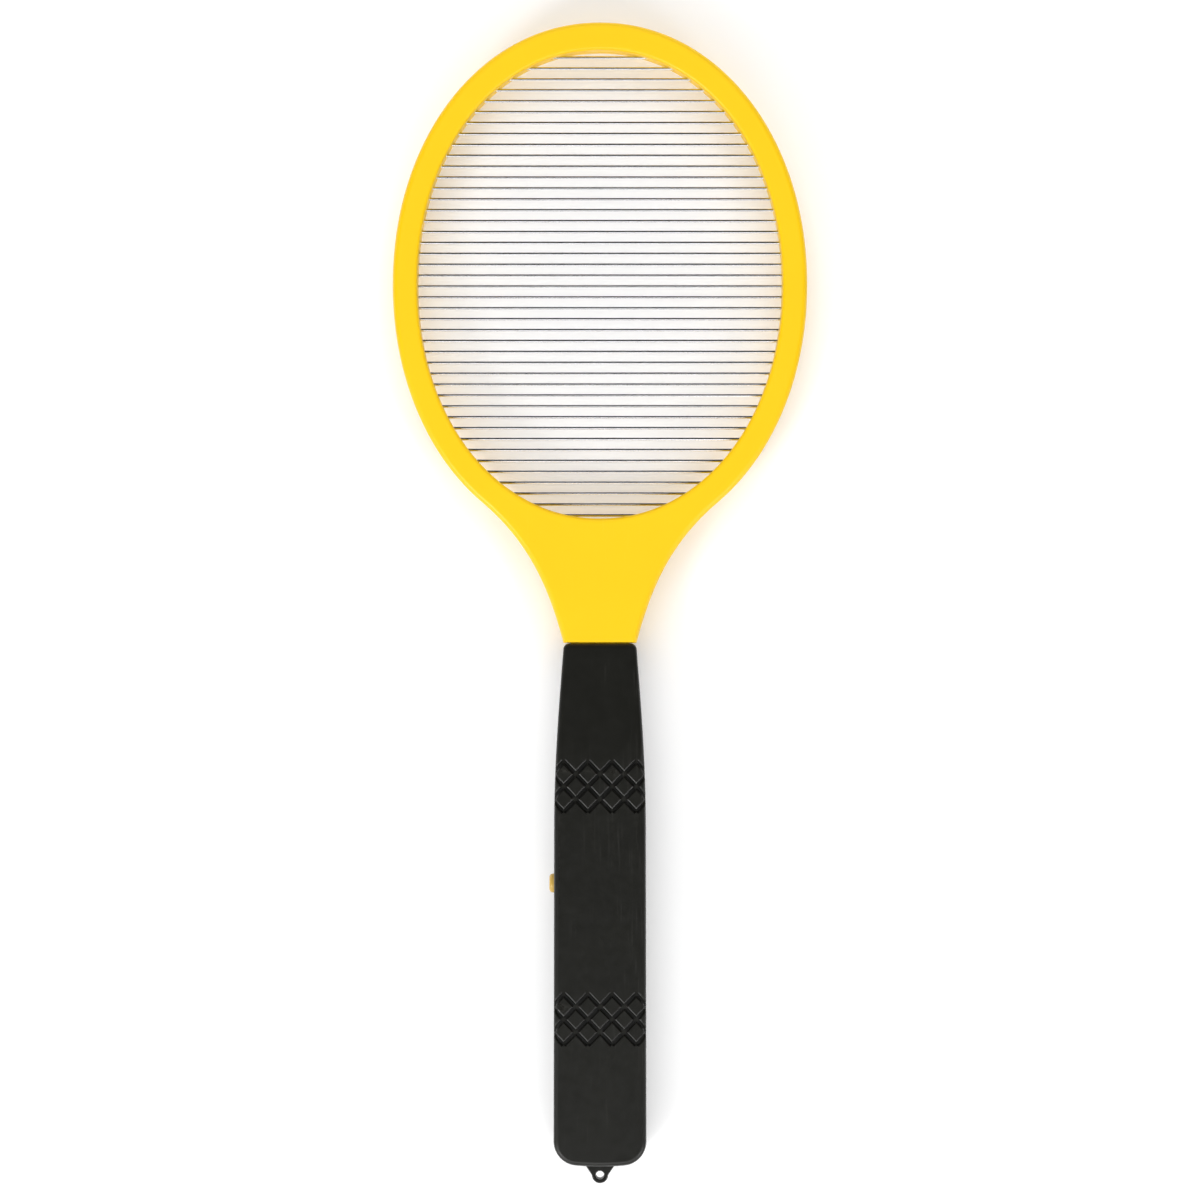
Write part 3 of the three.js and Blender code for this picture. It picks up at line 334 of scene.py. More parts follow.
def merged(parts):
    """One bmesh holding several closed bodies."""
    whole = bmesh.new()
    for part in parts:
        mesh = bpy.data.meshes.new("part")
        part.to_mesh(mesh)
        part.free()
        whole.from_mesh(mesh)
        bpy.data.meshes.remove(mesh)
    return whole


def temporary(bm, name):
    mesh = bpy.data.meshes.new(name)
    bm.to_mesh(mesh)
    bm.free()
    thing = bpy.data.objects.new(name, mesh)
    bpy.context.scene.collection.objects.link(thing)
    return thing


NUDGES = (
    ((0, 0, 0), False),
    ((0, 0, 0), True),
    ((0.0013, -0.0017, 0.0011), False),
    ((0.0013, -0.0017, 0.0011), True),
    ((-0.0023, 0.0019, -0.0014), True),
    ((0.0031, 0.0037, 0.0029), True),
)


def carved(target, cutters, operation="DIFFERENCE"):
    """target with cutters taken away, added or kept in common.

    Faces that nearly touch can upset the solver, so each result's volume and edges are checked, and a
    bad one is tried again with the cutters a few thousandths of a millimetre away.
    """
    whole = target.calc_volume(signed=True)
    part = cutters.calc_volume(signed=True)
    least, most = {
        "DIFFERENCE": (whole - part, whole),
        "UNION": (max(whole, part), whole + part),
        "INTERSECT": (0.001, min(whole, part)),
    }[operation]
    slack = 0.01 + 1e-4 * whole
    body = temporary(target, "carve_target")
    tool = temporary(cutters, "carve_tool")
    modifier = body.modifiers.new("carve", "BOOLEAN")
    modifier.operation = operation
    modifier.solver = "EXACT"
    modifier.object = tool
    best = None
    fewest_open = math.inf
    for nudge, crossing in NUDGES:
        tool.location = nudge
        modifier.use_self = crossing
        result = modified(body)
        volume = result.calc_volume(signed=True)
        open_edges = sum(1 for edge in result.edges if len(edge.link_faces) != 2)
        if least - slack <= volume <= most + slack and open_edges < fewest_open:
            best, fewest_open = result, open_edges
        if fewest_open == 0:
            break
    bpy.data.objects.remove(body)
    bpy.data.objects.remove(tool)
    if best is None:
        raise RuntimeError(f"no sound result from this {operation.lower()}")
    return best


def modified(thing):
    """The mesh of an object as its modifiers leave it, with doubled corners joined."""
    shown = thing.evaluated_get(bpy.context.evaluated_depsgraph_get())
    mesh = bpy.data.meshes.new_from_object(shown)
    result = bmesh.new()
    result.from_mesh(mesh)
    bpy.data.meshes.remove(mesh)
    bmesh.ops.remove_doubles(result, verts=result.verts, dist=MERGE)
    bmesh.ops.dissolve_degenerate(result, edges=result.edges, dist=MERGE)
    wires = [edge for edge in result.edges if not edge.link_faces]
    bmesh.ops.delete(result, geom=wires, context="EDGES")
    drop_slivers(result)
    return result


def signed_volume(faces):
    total = 0.0
    for face in faces:
        first = face.verts[0].co
        for one, two in zip(face.verts[1:], face.verts[2:]):
            total += first.dot(one.co.cross(two.co)) / 6
    return total


def drop_slivers(bm):
    """Deletes stray islands that enclose next to nothing."""
    seen = set()
    stray = []
    for start in bm.verts:
        if start in seen:
            continue
        island = [start]
        seen.add(start)
        for vert in island:
            for edge in vert.link_edges:
                other = edge.other_vert(vert)
                if other not in seen:
                    seen.add(other)
                    island.append(other)
        faces = {face for vert in island for face in vert.link_faces}
        if abs(signed_volume(faces)) < CRUMB_VOLUME:
            stray += island
    bmesh.ops.delete(bm, geom=stray, context="VERTS")


def cut_across(bm, heights_y):
    for y in heights_y:
        geometry = list(bm.verts) + list(bm.edges) + list(bm.faces)
        bmesh.ops.bisect_plane(bm, geom=geometry, dist=1e-5, plane_co=(0, y, 0), plane_no=(0, 1, 0))


def piece_from(bm, name, body, material, stands_for=(), smooth_angle=35, weighted=True):
    bm.transform(Matrix.Scale(MM, 4))
    face_outwards(bm)
    mesh = bpy.data.meshes.new(name)
    bm.to_mesh(mesh)
    bm.free()
    mesh.shade_smooth()
    mesh.set_sharp_from_angle(angle=math.radians(smooth_angle))
    mesh.materials.append(material)
    piece = bpy.data.objects.new(name, mesh)
    bpy.context.scene.collection.objects.link(piece)
    if weighted:
        modifier = piece.modifiers.new("normals", "WEIGHTED_NORMAL")
        modifier.keep_sharp = True
    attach(piece, body)
    if stands_for:
        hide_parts(*stands_for)
    return piece


def rounded_levels(edge, face_z, direction, steps=6):
    """(inset, z) pairs round a face's edge, from the side wall to the flat face."""
    levels = []
    for i in range(steps + 1):
        angle = math.pi / 2 * i / steps
        levels.append((edge * (1 - math.cos(angle)), face_z - direction * edge * (1 - math.sin(angle))))
    return levels


# ------------------------------------------------------------------ materials


class Look:
    """A procedural material: a Principled shader and the textures that drive it."""

    def __init__(self, name):
        self.material = bpy.data.materials.new(name)
        self.material.use_nodes = True
        self.tree = self.material.node_tree
        self.shader = self.tree.nodes["Principled BSDF"]
        self.place = self.add("ShaderNodeTexCoord").outputs["Object"]

    def add(self, kind, **settings):
        node = self.tree.nodes.new(kind)
        for key, value in settings.items():
            setattr(node, key, value)
        return node

    def feed(self, socket, value):
        if isinstance(value, bpy.types.NodeSocket):
            self.tree.links.new(value, socket)
        else:
            socket.default_value = value

    def noise(self, size_mm, detail=3.0, stretch=(1, 1, 1)):
        """Noise whose features are about size_mm across, longer where stretch is above 1."""
        mapping = self.add("ShaderNodeMapping")
        self.feed(mapping.inputs["Vector"], self.place)
        mapping.inputs["Scale"].default_value = [1 / along for along in stretch]
        noise = self.add("ShaderNodeTexNoise")
        self.feed(noise.inputs["Vector"], mapping.outputs["Vector"])
        noise.inputs["Scale"].default_value = 1 / (size_mm * MM)
        noise.inputs["Detail"].default_value = detail
        return noise.outputs["Fac"]

    def spread(self, value, low, high, start=0.0, end=1.0):
        node = self.add("ShaderNodeMapRange")
        self.feed(node.inputs["Value"], value)
        node.inputs["From Min"].default_value = low
        node.inputs["From Max"].default_value = high
        node.inputs["To Min"].default_value = start
        node.inputs["To Max"].default_value = end
        return node.outputs["Result"]

    def times(self, a, b):
        node = self.add("ShaderNodeMath", operation="MULTIPLY")
        self.feed(node.inputs[0], a)
        self.feed(node.inputs[1], b)
        return node.outputs[0]

    def plus(self, a, b):
        node = self.add("ShaderNodeMath", operation="ADD")
        self.feed(node.inputs[0], a)
        self.feed(node.inputs[1], b)
        return node.outputs[0]

    def blend(self, share, first, second):
        node = self.add("ShaderNodeMix", data_type="RGBA")
        self.feed(node.inputs["Factor"], share)
        self.feed(node.inputs[6], first)
        self.feed(node.inputs[7], second)
        return node.outputs[2]

    def edges(self, start=0.53, end=0.6):
        """1 on sharp outer edges, 0 on flat and hollow places."""
        return self.spread(self.add("ShaderNodeNewGeometry").outputs["Pointiness"], start, end)

    def hollows(self, start=0.49, end=0.43):
        """1 in sharp inner corners and narrow grooves, 0 elsewhere."""
        return self.spread(self.add("ShaderNodeNewGeometry").outputs["Pointiness"], start, end)

    def bump(self, height, depth_mm, strength=1.0, onto=None):
        node = self.add("ShaderNodeBump")
        self.feed(node.inputs["Height"], height)
        node.inputs["Distance"].default_value = depth_mm * MM
        node.inputs["Strength"].default_value = strength
        if onto is not None:
            self.feed(node.inputs["Normal"], onto)
        return node.outputs["Normal"]

    def finish(self, colour, roughness, normal=None, metallic=0.0, **constants):
        self.feed(self.shader.inputs["Base Color"], colour)
        self.feed(self.shader.inputs["Roughness"], roughness)
        self.shader.inputs["Metallic"].default_value = metallic
        if normal is not None:
            self.feed(self.shader.inputs["Normal"], normal)
        for name, value in constants.items():
            self.shader.inputs[name.replace("_", " ")].default_value = value
        return self.material


def rgb(red, green, blue):
    """A colour given as it looks on a screen, 0 to 255."""
    def linear(value):
        value /= 255
        return value / 12.92 if value <= 0.04045 else ((value + 0.055) / 1.055) ** 2.4
    return (linear(red), linear(green), linear(blue), 1.0)


def shaded(colour, amount):
    return tuple(min(1.0, channel * amount) for channel in colour[:3]) + (1.0,)


def moulded_plastic(name, colour, worn, roughness, grain=(0.22, 0.006), cloud_mm=14, contrast=0.05, wear=0.5,
                    scuffs=0.0, painted_hollow_shade=0.25, polish=0.08, **constants):
    """Injection-moulded plastic: fine mould grain, a faint cloudiness, rubbed edges, scuffs, and painted
    shade that darkens hollows and grooves.
    """
    look = Look(name)
    cloud = look.spread(look.noise(cloud_mm, 4), 0.3, 0.7)
    body = look.blend(cloud, shaded(colour, 1 - contrast), shaded(colour, 1 + contrast))
    speck = look.spread(look.noise(0.5, 2), 0.35, 0.7, 0.0, contrast)
    body = look.blend(speck, body, shaded(colour, 0.82))
    rubbed = look.times(look.edges(), look.spread(look.noise(2.2, 5), 0.35, 0.65, 0.0, wear))
    body = look.blend(rubbed, body, worn)
    # Painted shade: sharp inner corners and narrow grooves are darkened towards 0.3 of the colour.
    body = look.blend(look.times(look.hollows(), painted_hollow_shade), body, shaded(colour, 0.3))
    rough = look.spread(look.noise(3.5, 5), 0.25, 0.75, roughness - 0.05, roughness + 0.05)
    scuff = look.spread(look.noise(0.7, 3, stretch=(1, 28, 4)), 0.6, 0.78, 0.0, 1.0)
    patch = look.spread(look.noise(26, 2), 0.42, 0.68, 0.0, scuffs)
    rough = look.plus(rough, look.times(look.times(scuff, patch), 0.16))
    rough = look.plus(rough, look.times(look.edges(), -polish))
    body = look.blend(look.times(look.times(scuff, patch), 0.5), body, worn)
    normal = look.bump(look.noise(grain[0], 2), grain[1])
    normal = look.bump(scuff, 0.004, scuffs, normal)
    normal = look.bump(look.noise(18, 2), 0.05, 0.5, normal)
    return look.finish(body, rough, normal, **constants)


def metal(name, colour, roughness, brushed=(1, 1, 1), tarnish=(0.25, 0.2, 0.14, 1.0), dull=0.15):
    """Bare or plated metal with a drawn or brushed grain and a little tarnish."""
    look = Look(name)
    stain = look.spread(look.noise(5, 5), 0.5, 0.8, 0.0, dull)
    body = look.blend(stain, colour, tarnish)
    grain = look.noise(0.12, 3, stretch=brushed)
    rough = look.spread(grain, 0.2, 0.8, roughness - 0.04, roughness + 0.06)
    rough = look.plus(rough, look.times(stain, 0.5))
    normal = look.bump(grain, 0.002)
    return look.finish(body, rough, normal, 1.0)


YELLOW = moulded_plastic(
    "yellow_plastic", rgb(252, 204, 10), rgb(255, 222, 70), 0.4, cloud_mm=30, contrast=0.012, wear=0.25,
    scuffs=0.25, Specular_IOR_Level=0.4,
)
# The black plastic gets strong painted shade in its grooves and hollows.
BLACK = moulded_plastic(
    "black_plastic", rgb(21, 21, 17), rgb(56, 55, 52), 0.42, grain=(0.3, 0.012), contrast=0.09, wear=0.55,
    scuffs=1.0, painted_hollow_shade=0.9, polish=0.14, Specular_IOR_Level=0.4,
)
GOLD = moulded_plastic(
    "gold_plastic", rgb(214, 176, 84), rgb(240, 222, 160), 0.32, contrast=0.04, wear=0.5, scuffs=0.3,
)
ROD = metal("bright_rod", (0.78, 0.78, 0.8, 1.0), 0.16, brushed=(40, 1, 1), dull=0.08)
SCREW = metal("screw_steel", (0.5, 0.5, 0.52, 1.0), 0.3, dull=0.3)
SPRING = metal("spring_steel", (0.66, 0.67, 0.69, 1.0), 0.24, dull=0.18)
SWITCH_BLACK = moulded_plastic("part_black", rgb(30, 30, 32), rgb(70, 70, 72), 0.4, wear=0.3)
PLUNGER = moulded_plastic("plunger_white", rgb(225, 222, 212), rgb(245, 244, 240), 0.42)


# ------------------------------------------------------------------ head frames

HEAD_OUTLINE = head_outline()
NECK_END_EASE = 0.2  # the end that meets the handle is rounded this much less than the sides
FRAME_SCREW_DEGREES = (90, 25, 155, -35, 215)
FRAME_BOSS_INSET = 3.5
FRAME_BOSS_RADIUS = 2.3
FRAME_BOSS_COVER = 0.8  # a boss ends this far under the face, inside its wall
FRAME_SCREW_HEAD_ROOM = 2.1
FRAME_SCREW_SHANK_ROOM = 1.2
FRAME_SCREW_SEAT_Z = 7.7
FRAME_SCREW_END_Z = 15.6
NECK_POST_ROOM = 4.6  # the first handle post passes through the tongue with this radius free
NECK_POST_REACH = 14
NECK_SCREW_Y = 12.0
HANDLE_SCREWS_Y = (-25.0, -57.0, -147.0)
TAIL_SCREW_Y = -216.9
SEAM_CHAMFER = 0.18
PAST = 1.0  # how far a cutter reaches past what it cuts


def head_inset(distance):
    ring = inset(HEAD_OUTLINE, distance)
    for corner in (ring[0], ring[-1]):
        corner.y = NECK_END_Y + NECK_END_EASE * distance
    return ring


def frame_screw_places():
    a = HEAD_HALF_WIDTH - FRAME_BOSS_INSET
    b = HEAD_HALF_LENGTH - FRAME_BOSS_INSET
    places = [oval_point(a, b, math.radians(degrees)) for degrees in FRAME_SCREW_DEGREES]
    return places + [Vector((0, NECK_SCREW_Y))]


def neck_half_thickness(y):
    along = (NECK_THICKENING_Y - y) / (NECK_THICKENING_Y - NECK_END_Y)
    along = min(1.0, max(0.0, along))
    eased = along * along * (3 - 2 * along)
    return RIM_HALF_THICKNESS + eased * (NECK_END_HALF_THICKNESS - RIM_HALF_THICKNESS)


def thicken_neck(bm):
    steps = 18
    run = NECK_THICKENING_Y - NECK_END_Y
    cut_across(bm, [NECK_THICKENING_Y - run * i / steps for i in range(steps)])
    for vert in bm.verts:
        grow = neck_half_thickness(vert.co.y) / RIM_HALF_THICKNESS
        vert.co.z = PARTING_Z + (vert.co.z - PARTING_Z) * grow


def rod_y(index):
    return ROD_TOP_Y - index * ROD_PITCH


def rod_side(index):
    """Even rods join the left bus strip, odd rods the right one."""
    return -1 if index % 2 == 0 else 1


def beside_rod(index, distance):
    """Y of a line beside a rod, on the side nearer to the middle of the head or further from it."""
    y = rod_y(index)
    return y + math.copysign(distance, HEAD_CENTRE_Y - y)


def opening_half_width(grow, y):
    return oval_half_width(OPENING_A + grow, OPENING_B + grow, y)


def along_x(radius, start, end, y, z, sides=12):
    matrix = Matrix.Translation((0, y, z)) @ Matrix.Rotation(math.pi / 2, 4, "Y")
    return turned([(radius, start), (radius, end)], sides, matrix)


def rod_holes():
    holes = []
    for i in range(ROD_COUNT):
        start = opening_half_width(0, beside_rod(i, -ROD_HOLE_RADIUS)) - 4 * PAST
        start = max(1.0, start)
        through = opening_half_width(INNER_WALL, beside_rod(i, ROD_HOLE_RADIUS)) + ROD_END_GAP
        blind = opening_half_width(0, beside_rod(i, ROD_RADIUS)) + ROD_SEAT + ROD_END_GAP
        right, left = (through, blind) if rod_side(i) > 0 else (blind, through)
        holes.append(along_x(ROD_HOLE_RADIUS, start, right, rod_y(i), PARTING_Z))
        holes.append(along_x(ROD_HOLE_RADIUS, -left, -start, rod_y(i), PARTING_Z))
    return merged(holes)


def bored(x, y, *steps):
    """A stepped round cutter or post that stands at (x, y): steps are (radius, z)."""
    return turned(steps, 32, Matrix.Translation((x, y, 0)))


def post(y, radius, low, high):
    """A plain post, or a cutter for a plain hole, on the centre line."""
    return bored(0, y, (radius, low), (radius, high))


def head_frame(direction):
    face = PARTING_Z + direction * RIM_HALF_THICKNESS
    seam = PARTING_Z + direction * SEAM_GAP
    rings = [
        at_height(head_inset(SEAM_CHAMFER), seam),
        at_height(HEAD_OUTLINE, seam + direction * SEAM_CHAMFER),
    ]
    for distance, z in rounded_levels(OUTER_EDGE, face, direction):
        rings.append(at_height(head_inset(distance), z))
    body = solid_from_rings(rings)

    plug = [
        at_height(opening(SEAM_CHAMFER), seam - direction * PAST),
        at_height(opening(SEAM_CHAMFER), seam),
        at_height(opening(0), seam + direction * SEAM_CHAMFER),
    ]
    for distance, z in rounded_levels(OPENING_EDGE, face, direction, 5):
        plug.append(at_height(opening(distance), z))
    plug.append(at_height(opening(OPENING_EDGE + 0.02), face + direction * PAST))
    body = carved(body, solid_from_rings(plug))

    channel = prism(
        inset(HEAD_OUTLINE, OUTER_WALL),
        *sorted((seam - direction * PAST, face - direction * FACE_WALL)),
    )
    wall = prism(opening(INNER_WALL), *sorted((seam - 2 * direction * PAST, face + direction * PAST)))
    body = carved(body, carved(channel, wall))
    thicken_neck(body)

    half_z = TONGUE_HALF_THICKNESS
    end_z = sorted((seam, PARTING_Z + direction * half_z))
    tongue_y = (TONGUE_END_Y, NECK_END_Y + TONGUE_ROOT)
    body = carved(body, block((-TONGUE_HALF_WIDTH, TONGUE_HALF_WIDTH), tongue_y, end_z), "UNION")
    inner_x = TONGUE_HALF_WIDTH - TONGUE_WALL
    inner_y = (TONGUE_END_Y - PAST, NECK_END_Y + 2 * TONGUE_ROOT)
    inner_z = sorted((seam - direction * PAST, PARTING_Z + direction * (half_z - TONGUE_WALL)))
    body = carved(body, block((-inner_x, inner_x), inner_y, inner_z))

    posts = []
    drills = [post(HANDLE_SCREWS_Y[0], NECK_POST_ROOM, seam - NECK_POST_REACH, seam + NECK_POST_REACH)]
    for place in frame_screw_places():
        roof = PARTING_Z + direction * (neck_half_thickness(place.y) - FRAME_BOSS_COVER)
        low, high = sorted((seam, roof))
        posts.append(bored(place.x, place.y, (FRAME_BOSS_RADIUS, low), (FRAME_BOSS_RADIUS, high)))
        head, shank = FRAME_SCREW_HEAD_ROOM, FRAME_SCREW_SHANK_ROOM
        steps = [(head, 0), (head, FRAME_SCREW_SEAT_Z), (shank, FRAME_SCREW_SEAT_Z), (shank, seam + PAST)]
        if direction > 0:
            steps = [(shank, seam - PAST), (shank, FRAME_SCREW_END_Z)]
        drills.append(bored(place.x, place.y, *steps))
    body = carved(body, merged(posts), "UNION")
    body = carved(body, merged(drills))
    return carved(body, rod_holes())


for name, direction in (("front", 1), ("back", -1)):
    piece_from(
        head_frame(direction), f"head_{name}_moulding", "swatter", YELLOW,
        [f"head_{name}_frame"],
    )


# ------------------------------------------------------------------ rods and bus strips


def bus_strip(side):
    outlines = []
    for share in (1, 0):
        grow = INNER_WALL + BUS_GAP + share * BUS_THICKNESS
        arc_points = [
            oval_point(OPENING_A + grow, OPENING_B + grow, BUS_END_ANGLE * (2 * i / BUS_STEPS - 1))
            for i in range(BUS_STEPS + 1)
        ]
        outlines.append(arc_points if share else list(reversed(arc_points)))
    outline = [Vector((side * point.x, point.y)) for point in outlines[0] + outlines[1]]
    if side < 0:
        outline.reverse()
    return prism(outline, PARTING_Z - BUS_HEIGHT / 2, PARTING_Z + BUS_HEIGHT / 2)


def rod(index):
    side = rod_side(index)
    y = rod_y(index)
    bus_end = opening_half_width(INNER_WALL + BUS_GAP + BUS_THICKNESS / 2, y)
    free_end = opening_half_width(0, beside_rod(index, ROD_RADIUS)) + ROD_SEAT
    profile = [
        (ROD_RADIUS, -bus_end),
        (ROD_RADIUS, free_end - ROD_TIP),
        (ROD_RADIUS * 0.85, free_end - ROD_TIP / 3),
        (ROD_RADIUS * 0.4, free_end),
    ]
    turn = Matrix.Rotation(math.pi / 2, 4, "Y")
    if side > 0:
        turn = Matrix.Rotation(math.pi, 4, "Z") @ turn
    return turned(profile, 16, Matrix.Translation((0, y, PARTING_Z)) @ turn)


for name, side in (("live", -1), ("return", 1)):
    rods = merged([rod(i) for i in range(ROD_COUNT) if rod_side(i) == side])
    piece_from(
        carved(bus_strip(side), rods, "UNION"), f"rod_comb_{name}", "swatter", ROD,
        [f"rods_{name}"], smooth_angle=40,
    )


# ------------------------------------------------------------------ handle shells

DOOR_TOP_Y = DOOR_HIGH.y
DOOR_HALF_WIDTH = 15.2
DOOR_THICKNESS = 2.2
DOOR_LIP = 1.0
DOOR_GAP = 0.3
DOOR_EDGE = 0.25
DOOR_SKIN_TOP_Z = 6.0
THUMB_GROOVES = 8
THUMB_TOP_Y = -186.0
THUMB_PITCH = 2.2
THUMB_HALF_WIDTH = 8.5
THUMB_ROUNDING = 0.12  # shortens the grooves towards the pad's top and bottom
THUMB_SECTION = ((-0.75, -0.3), (-0.4, 0.45), (0.4, 0.45), (0.75, -0.3))
THUMB_RUN_OUT = 0.5
THUMB_END_DEPTH = 0.35
BUTTON_Y = (box_mm("push_button")[0].y + box_mm("push_button")[1].y) / 2
BUTTON_HOLE_RADIUS = 4.1
BAY_TOP_Y = -154.5
BAY_TAIL_Y = -211.8
BAY_WALL = 1.4
BAY_RIBS_Y = (-195.0, -172.0)
RIB_LOW_Z = 17.8
LEAD_X = 12.0
INNER_INSET = 2.15
POST_RADIUS = 4.0
POST_ROOT_Z = 0.5  # posts start inside the back wall
BOARD_POSTS_Y = (-71.0, -137.0)
BOARD_POST_RADIUS = 2.8
BOARD_POST_TOP_Z = 6.7
BOARD_SCREW_ROOM = 1.4
BOARD_SCREW_Z = (3.2, 8)
SHANK_ROOM = 1.6
SHANK_TOP_Z = 12.5  # the cutters of the back shell's screw holes end here, past the parting plane
POST_BORE_Z = (2, 18.8)
HEAD_ROOM = 2.9
SCREW_MOUTH = 0.3  # the chamfer round a screw hole
HEAD_SEAT_Z = 3.5
TAIL_HEAD_SEAT_Z = 5.9
DIVIDER_LOW_Z = 2.8
DIVIDER_GAP = 0.03  # the bay wall's lower part is this much thinner on each side, so no faces coincide
LEAD_NOTCH_HALF_WIDTH = 1.3
LEAD_NOTCH_TOP_Z = 6.3
LOWEST_Y = -232  # past the tail
SLOPE_EASE = 6.0  # half the length over which the front face turns into its slope
LUG_EDGE = 0.6
BUTTON_HOLE_REACH = 3
GROOVE_SIDE_REACH = 8.4  # how far the grooves go down the sides


def front_z(y):
    """Height of the front face: level, then a gentle slope down to the neck."""
    slope = HANDLE_TAPER / (HANDLE_TOP_Y + TAPER_RUN_ON - HANDLE_TAPER_Y)
    past = y - HANDLE_TAPER_Y
    if past < -SLOPE_EASE:
        return HANDLE_THICKNESS
    if past < SLOPE_EASE:
        return HANDLE_THICKNESS - slope * (past + SLOPE_EASE) ** 2 / (4 * SLOPE_EASE)
    return HANDLE_THICKNESS - slope * past


def slope_front(bm):
    cut_across(bm, [HANDLE_TAPER_Y + SLOPE_EASE * step / 3 for step in range(-3, 4)])
    for vert in bm.verts:
        if vert.co.z > PARTING_Z:
            share = (front_z(vert.co.y) - PARTING_Z) / (HANDLE_THICKNESS - PARTING_Z)
            vert.co.z = PARTING_Z + (vert.co.z - PARTING_Z) * share


def handle_cup(direction):
    face = HANDLE_THICKNESS if direction > 0 else 0.0
    seam = PARTING_Z + direction * SEAM_GAP
    inner = inset(HANDLE_OUTLINE, INNER_INSET)
    rings = [
        at_height(inner, face - direction * HANDLE_WALL),
        at_height(inner, seam),
        at_height(inset(HANDLE_OUTLINE, SEAM_CHAMFER), seam),
        at_height(HANDLE_OUTLINE, seam + direction * SEAM_CHAMFER),
    ]
    for distance, z in rounded_levels(HANDLE_EDGE, face, direction):
        rings.append(at_height(inset(HANDLE_OUTLINE, distance), z))
    cup = solid_from_rings(rings)
    slope_front(cup)
    return cup


def inside_handle():
    outline = inset(HANDLE_OUTLINE, HANDLE_WALL / 2)
    inside = prism(outline, HANDLE_WALL / 2, HANDLE_THICKNESS - HANDLE_WALL / 2)
    slope_front(inside)
    return inside


def filled(body, bits):
    """body with bits added, as far as they lie inside the handle."""
    return carved(body, carved(bits, inside_handle(), "INTERSECT"), "UNION")


def lug(direction):
    """Half of the loop that a hanging cord goes through."""
    outline = [Vector((LUG_ROOT_HALF_WIDTH, LUG_ROOT_Y)), Vector((-LUG_ROOT_HALF_WIDTH, LUG_ROOT_Y))]
    outline += arc(0, LUG_HOLE_Y, LUG_TIP_RADIUS, math.pi, TAU, 24)
    face = PARTING_Z + direction * LUG_HALF_THICKNESS
    seam = PARTING_Z + direction * SEAM_GAP
    rings = [at_height(outline, seam)]
    for distance, z in rounded_levels(LUG_EDGE, face, direction, 4):
        rings.append(at_height(inset(outline, distance), z))
    body = solid_from_rings(rings)
    hole = [
        (LUG_HOLE_RADIUS, seam - direction),
        (LUG_HOLE_RADIUS, face - direction * 0.35),
        (LUG_HOLE_RADIUS + 0.1, face - direction * 0.12),
        (LUG_HOLE_RADIUS + 0.35, face + direction * 0.01),
        (LUG_HOLE_RADIUS + 0.35, face + direction),
    ]
    return carved(body, turned(hole, 32, Matrix.Translation((0, LUG_HOLE_Y, 0))))


# The groove's section, across it and above (+) or below (-) the surface.
GROOVE_SECTION = (
    (-1.56, 0.22), (-0.86, -0.16), (-0.74, -0.4), (-0.66, -0.9),
    (0.66, -0.9), (0.74, -0.4), (0.86, -0.16), (1.56, 0.22),
)
GROOVE_STEP = 0.5


def wrapped(across, y, height, direction):
    """A point on the handle's skin: across is measured round it from the centre line."""
    half_width = handle_half_width(y)
    flat = half_width - HANDLE_EDGE
    face = HANDLE_THICKNESS if direction > 0 else 0.0
    side = math.copysign(1, across)
    past = abs(across) - flat
    quarter = HANDLE_EDGE * math.pi / 2
    if past <= 0:
        return Vector((across, y, face + direction * height))
    if past <= quarter:
        angle = past / HANDLE_EDGE
        radius = HANDLE_EDGE + height
        x = flat + radius * math.sin(angle)
        return Vector((side * x, y, face - direction * (HANDLE_EDGE - radius * math.cos(angle))))
    z = face - direction * (HANDLE_EDGE + past - quarter)
    return Vector((side * (half_width + height), y, z))


def groove_bars(lean, direction):
    """Cutters for the grooves that lean one way. They don't cross each other."""
    slope = math.atan2(GRIP_CELL_HALF_HEIGHT, GRIP_CELL_HALF_WIDTH)
    reach = 2 * math.hypot(GRIP_CELL_HALF_WIDTH, GRIP_CELL_HALF_HEIGHT)
    ahead = Vector((math.cos(slope), lean * math.sin(slope)))
    sideways = Vector((-ahead.y, ahead.x))
    furthest = HANDLE_HALF_WIDTH - HANDLE_EDGE + HANDLE_EDGE * math.pi / 2 + GROOVE_SIDE_REACH
    bars = []
    for band in GRIP_BANDS_Y:
        for k in GRIP_LINES:
            centre = Vector((k * GRIP_CELL_HALF_WIDTH, band))
            steps = round(2 * reach / GROOVE_STEP)
            kept = []
            for i in range(steps + 1):
                middle = centre + ahead * (reach * (2 * i / steps - 1))
                if abs(middle.x) <= furthest:
                    kept.append(middle)
            if len(kept) < 4:
                continue
            rings = []
            for middle in kept:
                ring = []
                for across, height in GROOVE_SECTION:
                    point = middle + sideways * across
                    ring.append(wrapped(point.x, point.y, height, direction))
                rings.append(ring)
            bars.append(solid_from_rings(rings))
    return merged(bars)


def grooved(body, direction):
    for lean in (1, -1):
        body = carved(body, groove_bars(lean, direction))
    return body


def button_hole():
    outer = -HANDLE_HALF_WIDTH - BUTTON_HOLE_REACH
    inner = -HANDLE_HALF_WIDTH + BUTTON_HOLE_REACH
    return along_x(BUTTON_HOLE_RADIUS, outer, inner, BUTTON_Y, PARTING_Z, 48)


def tongue_hole():
    half_width = TONGUE_HALF_WIDTH + DOOR_GAP
    half_thickness = TONGUE_HALF_THICKNESS + DOOR_GAP
    y = (HANDLE_TOP_Y - 2 * HANDLE_WALL, HANDLE_TOP_Y + PAST)
    return block((-half_width, half_width), y, (PARTING_Z - half_thickness, PARTING_Z + half_thickness))


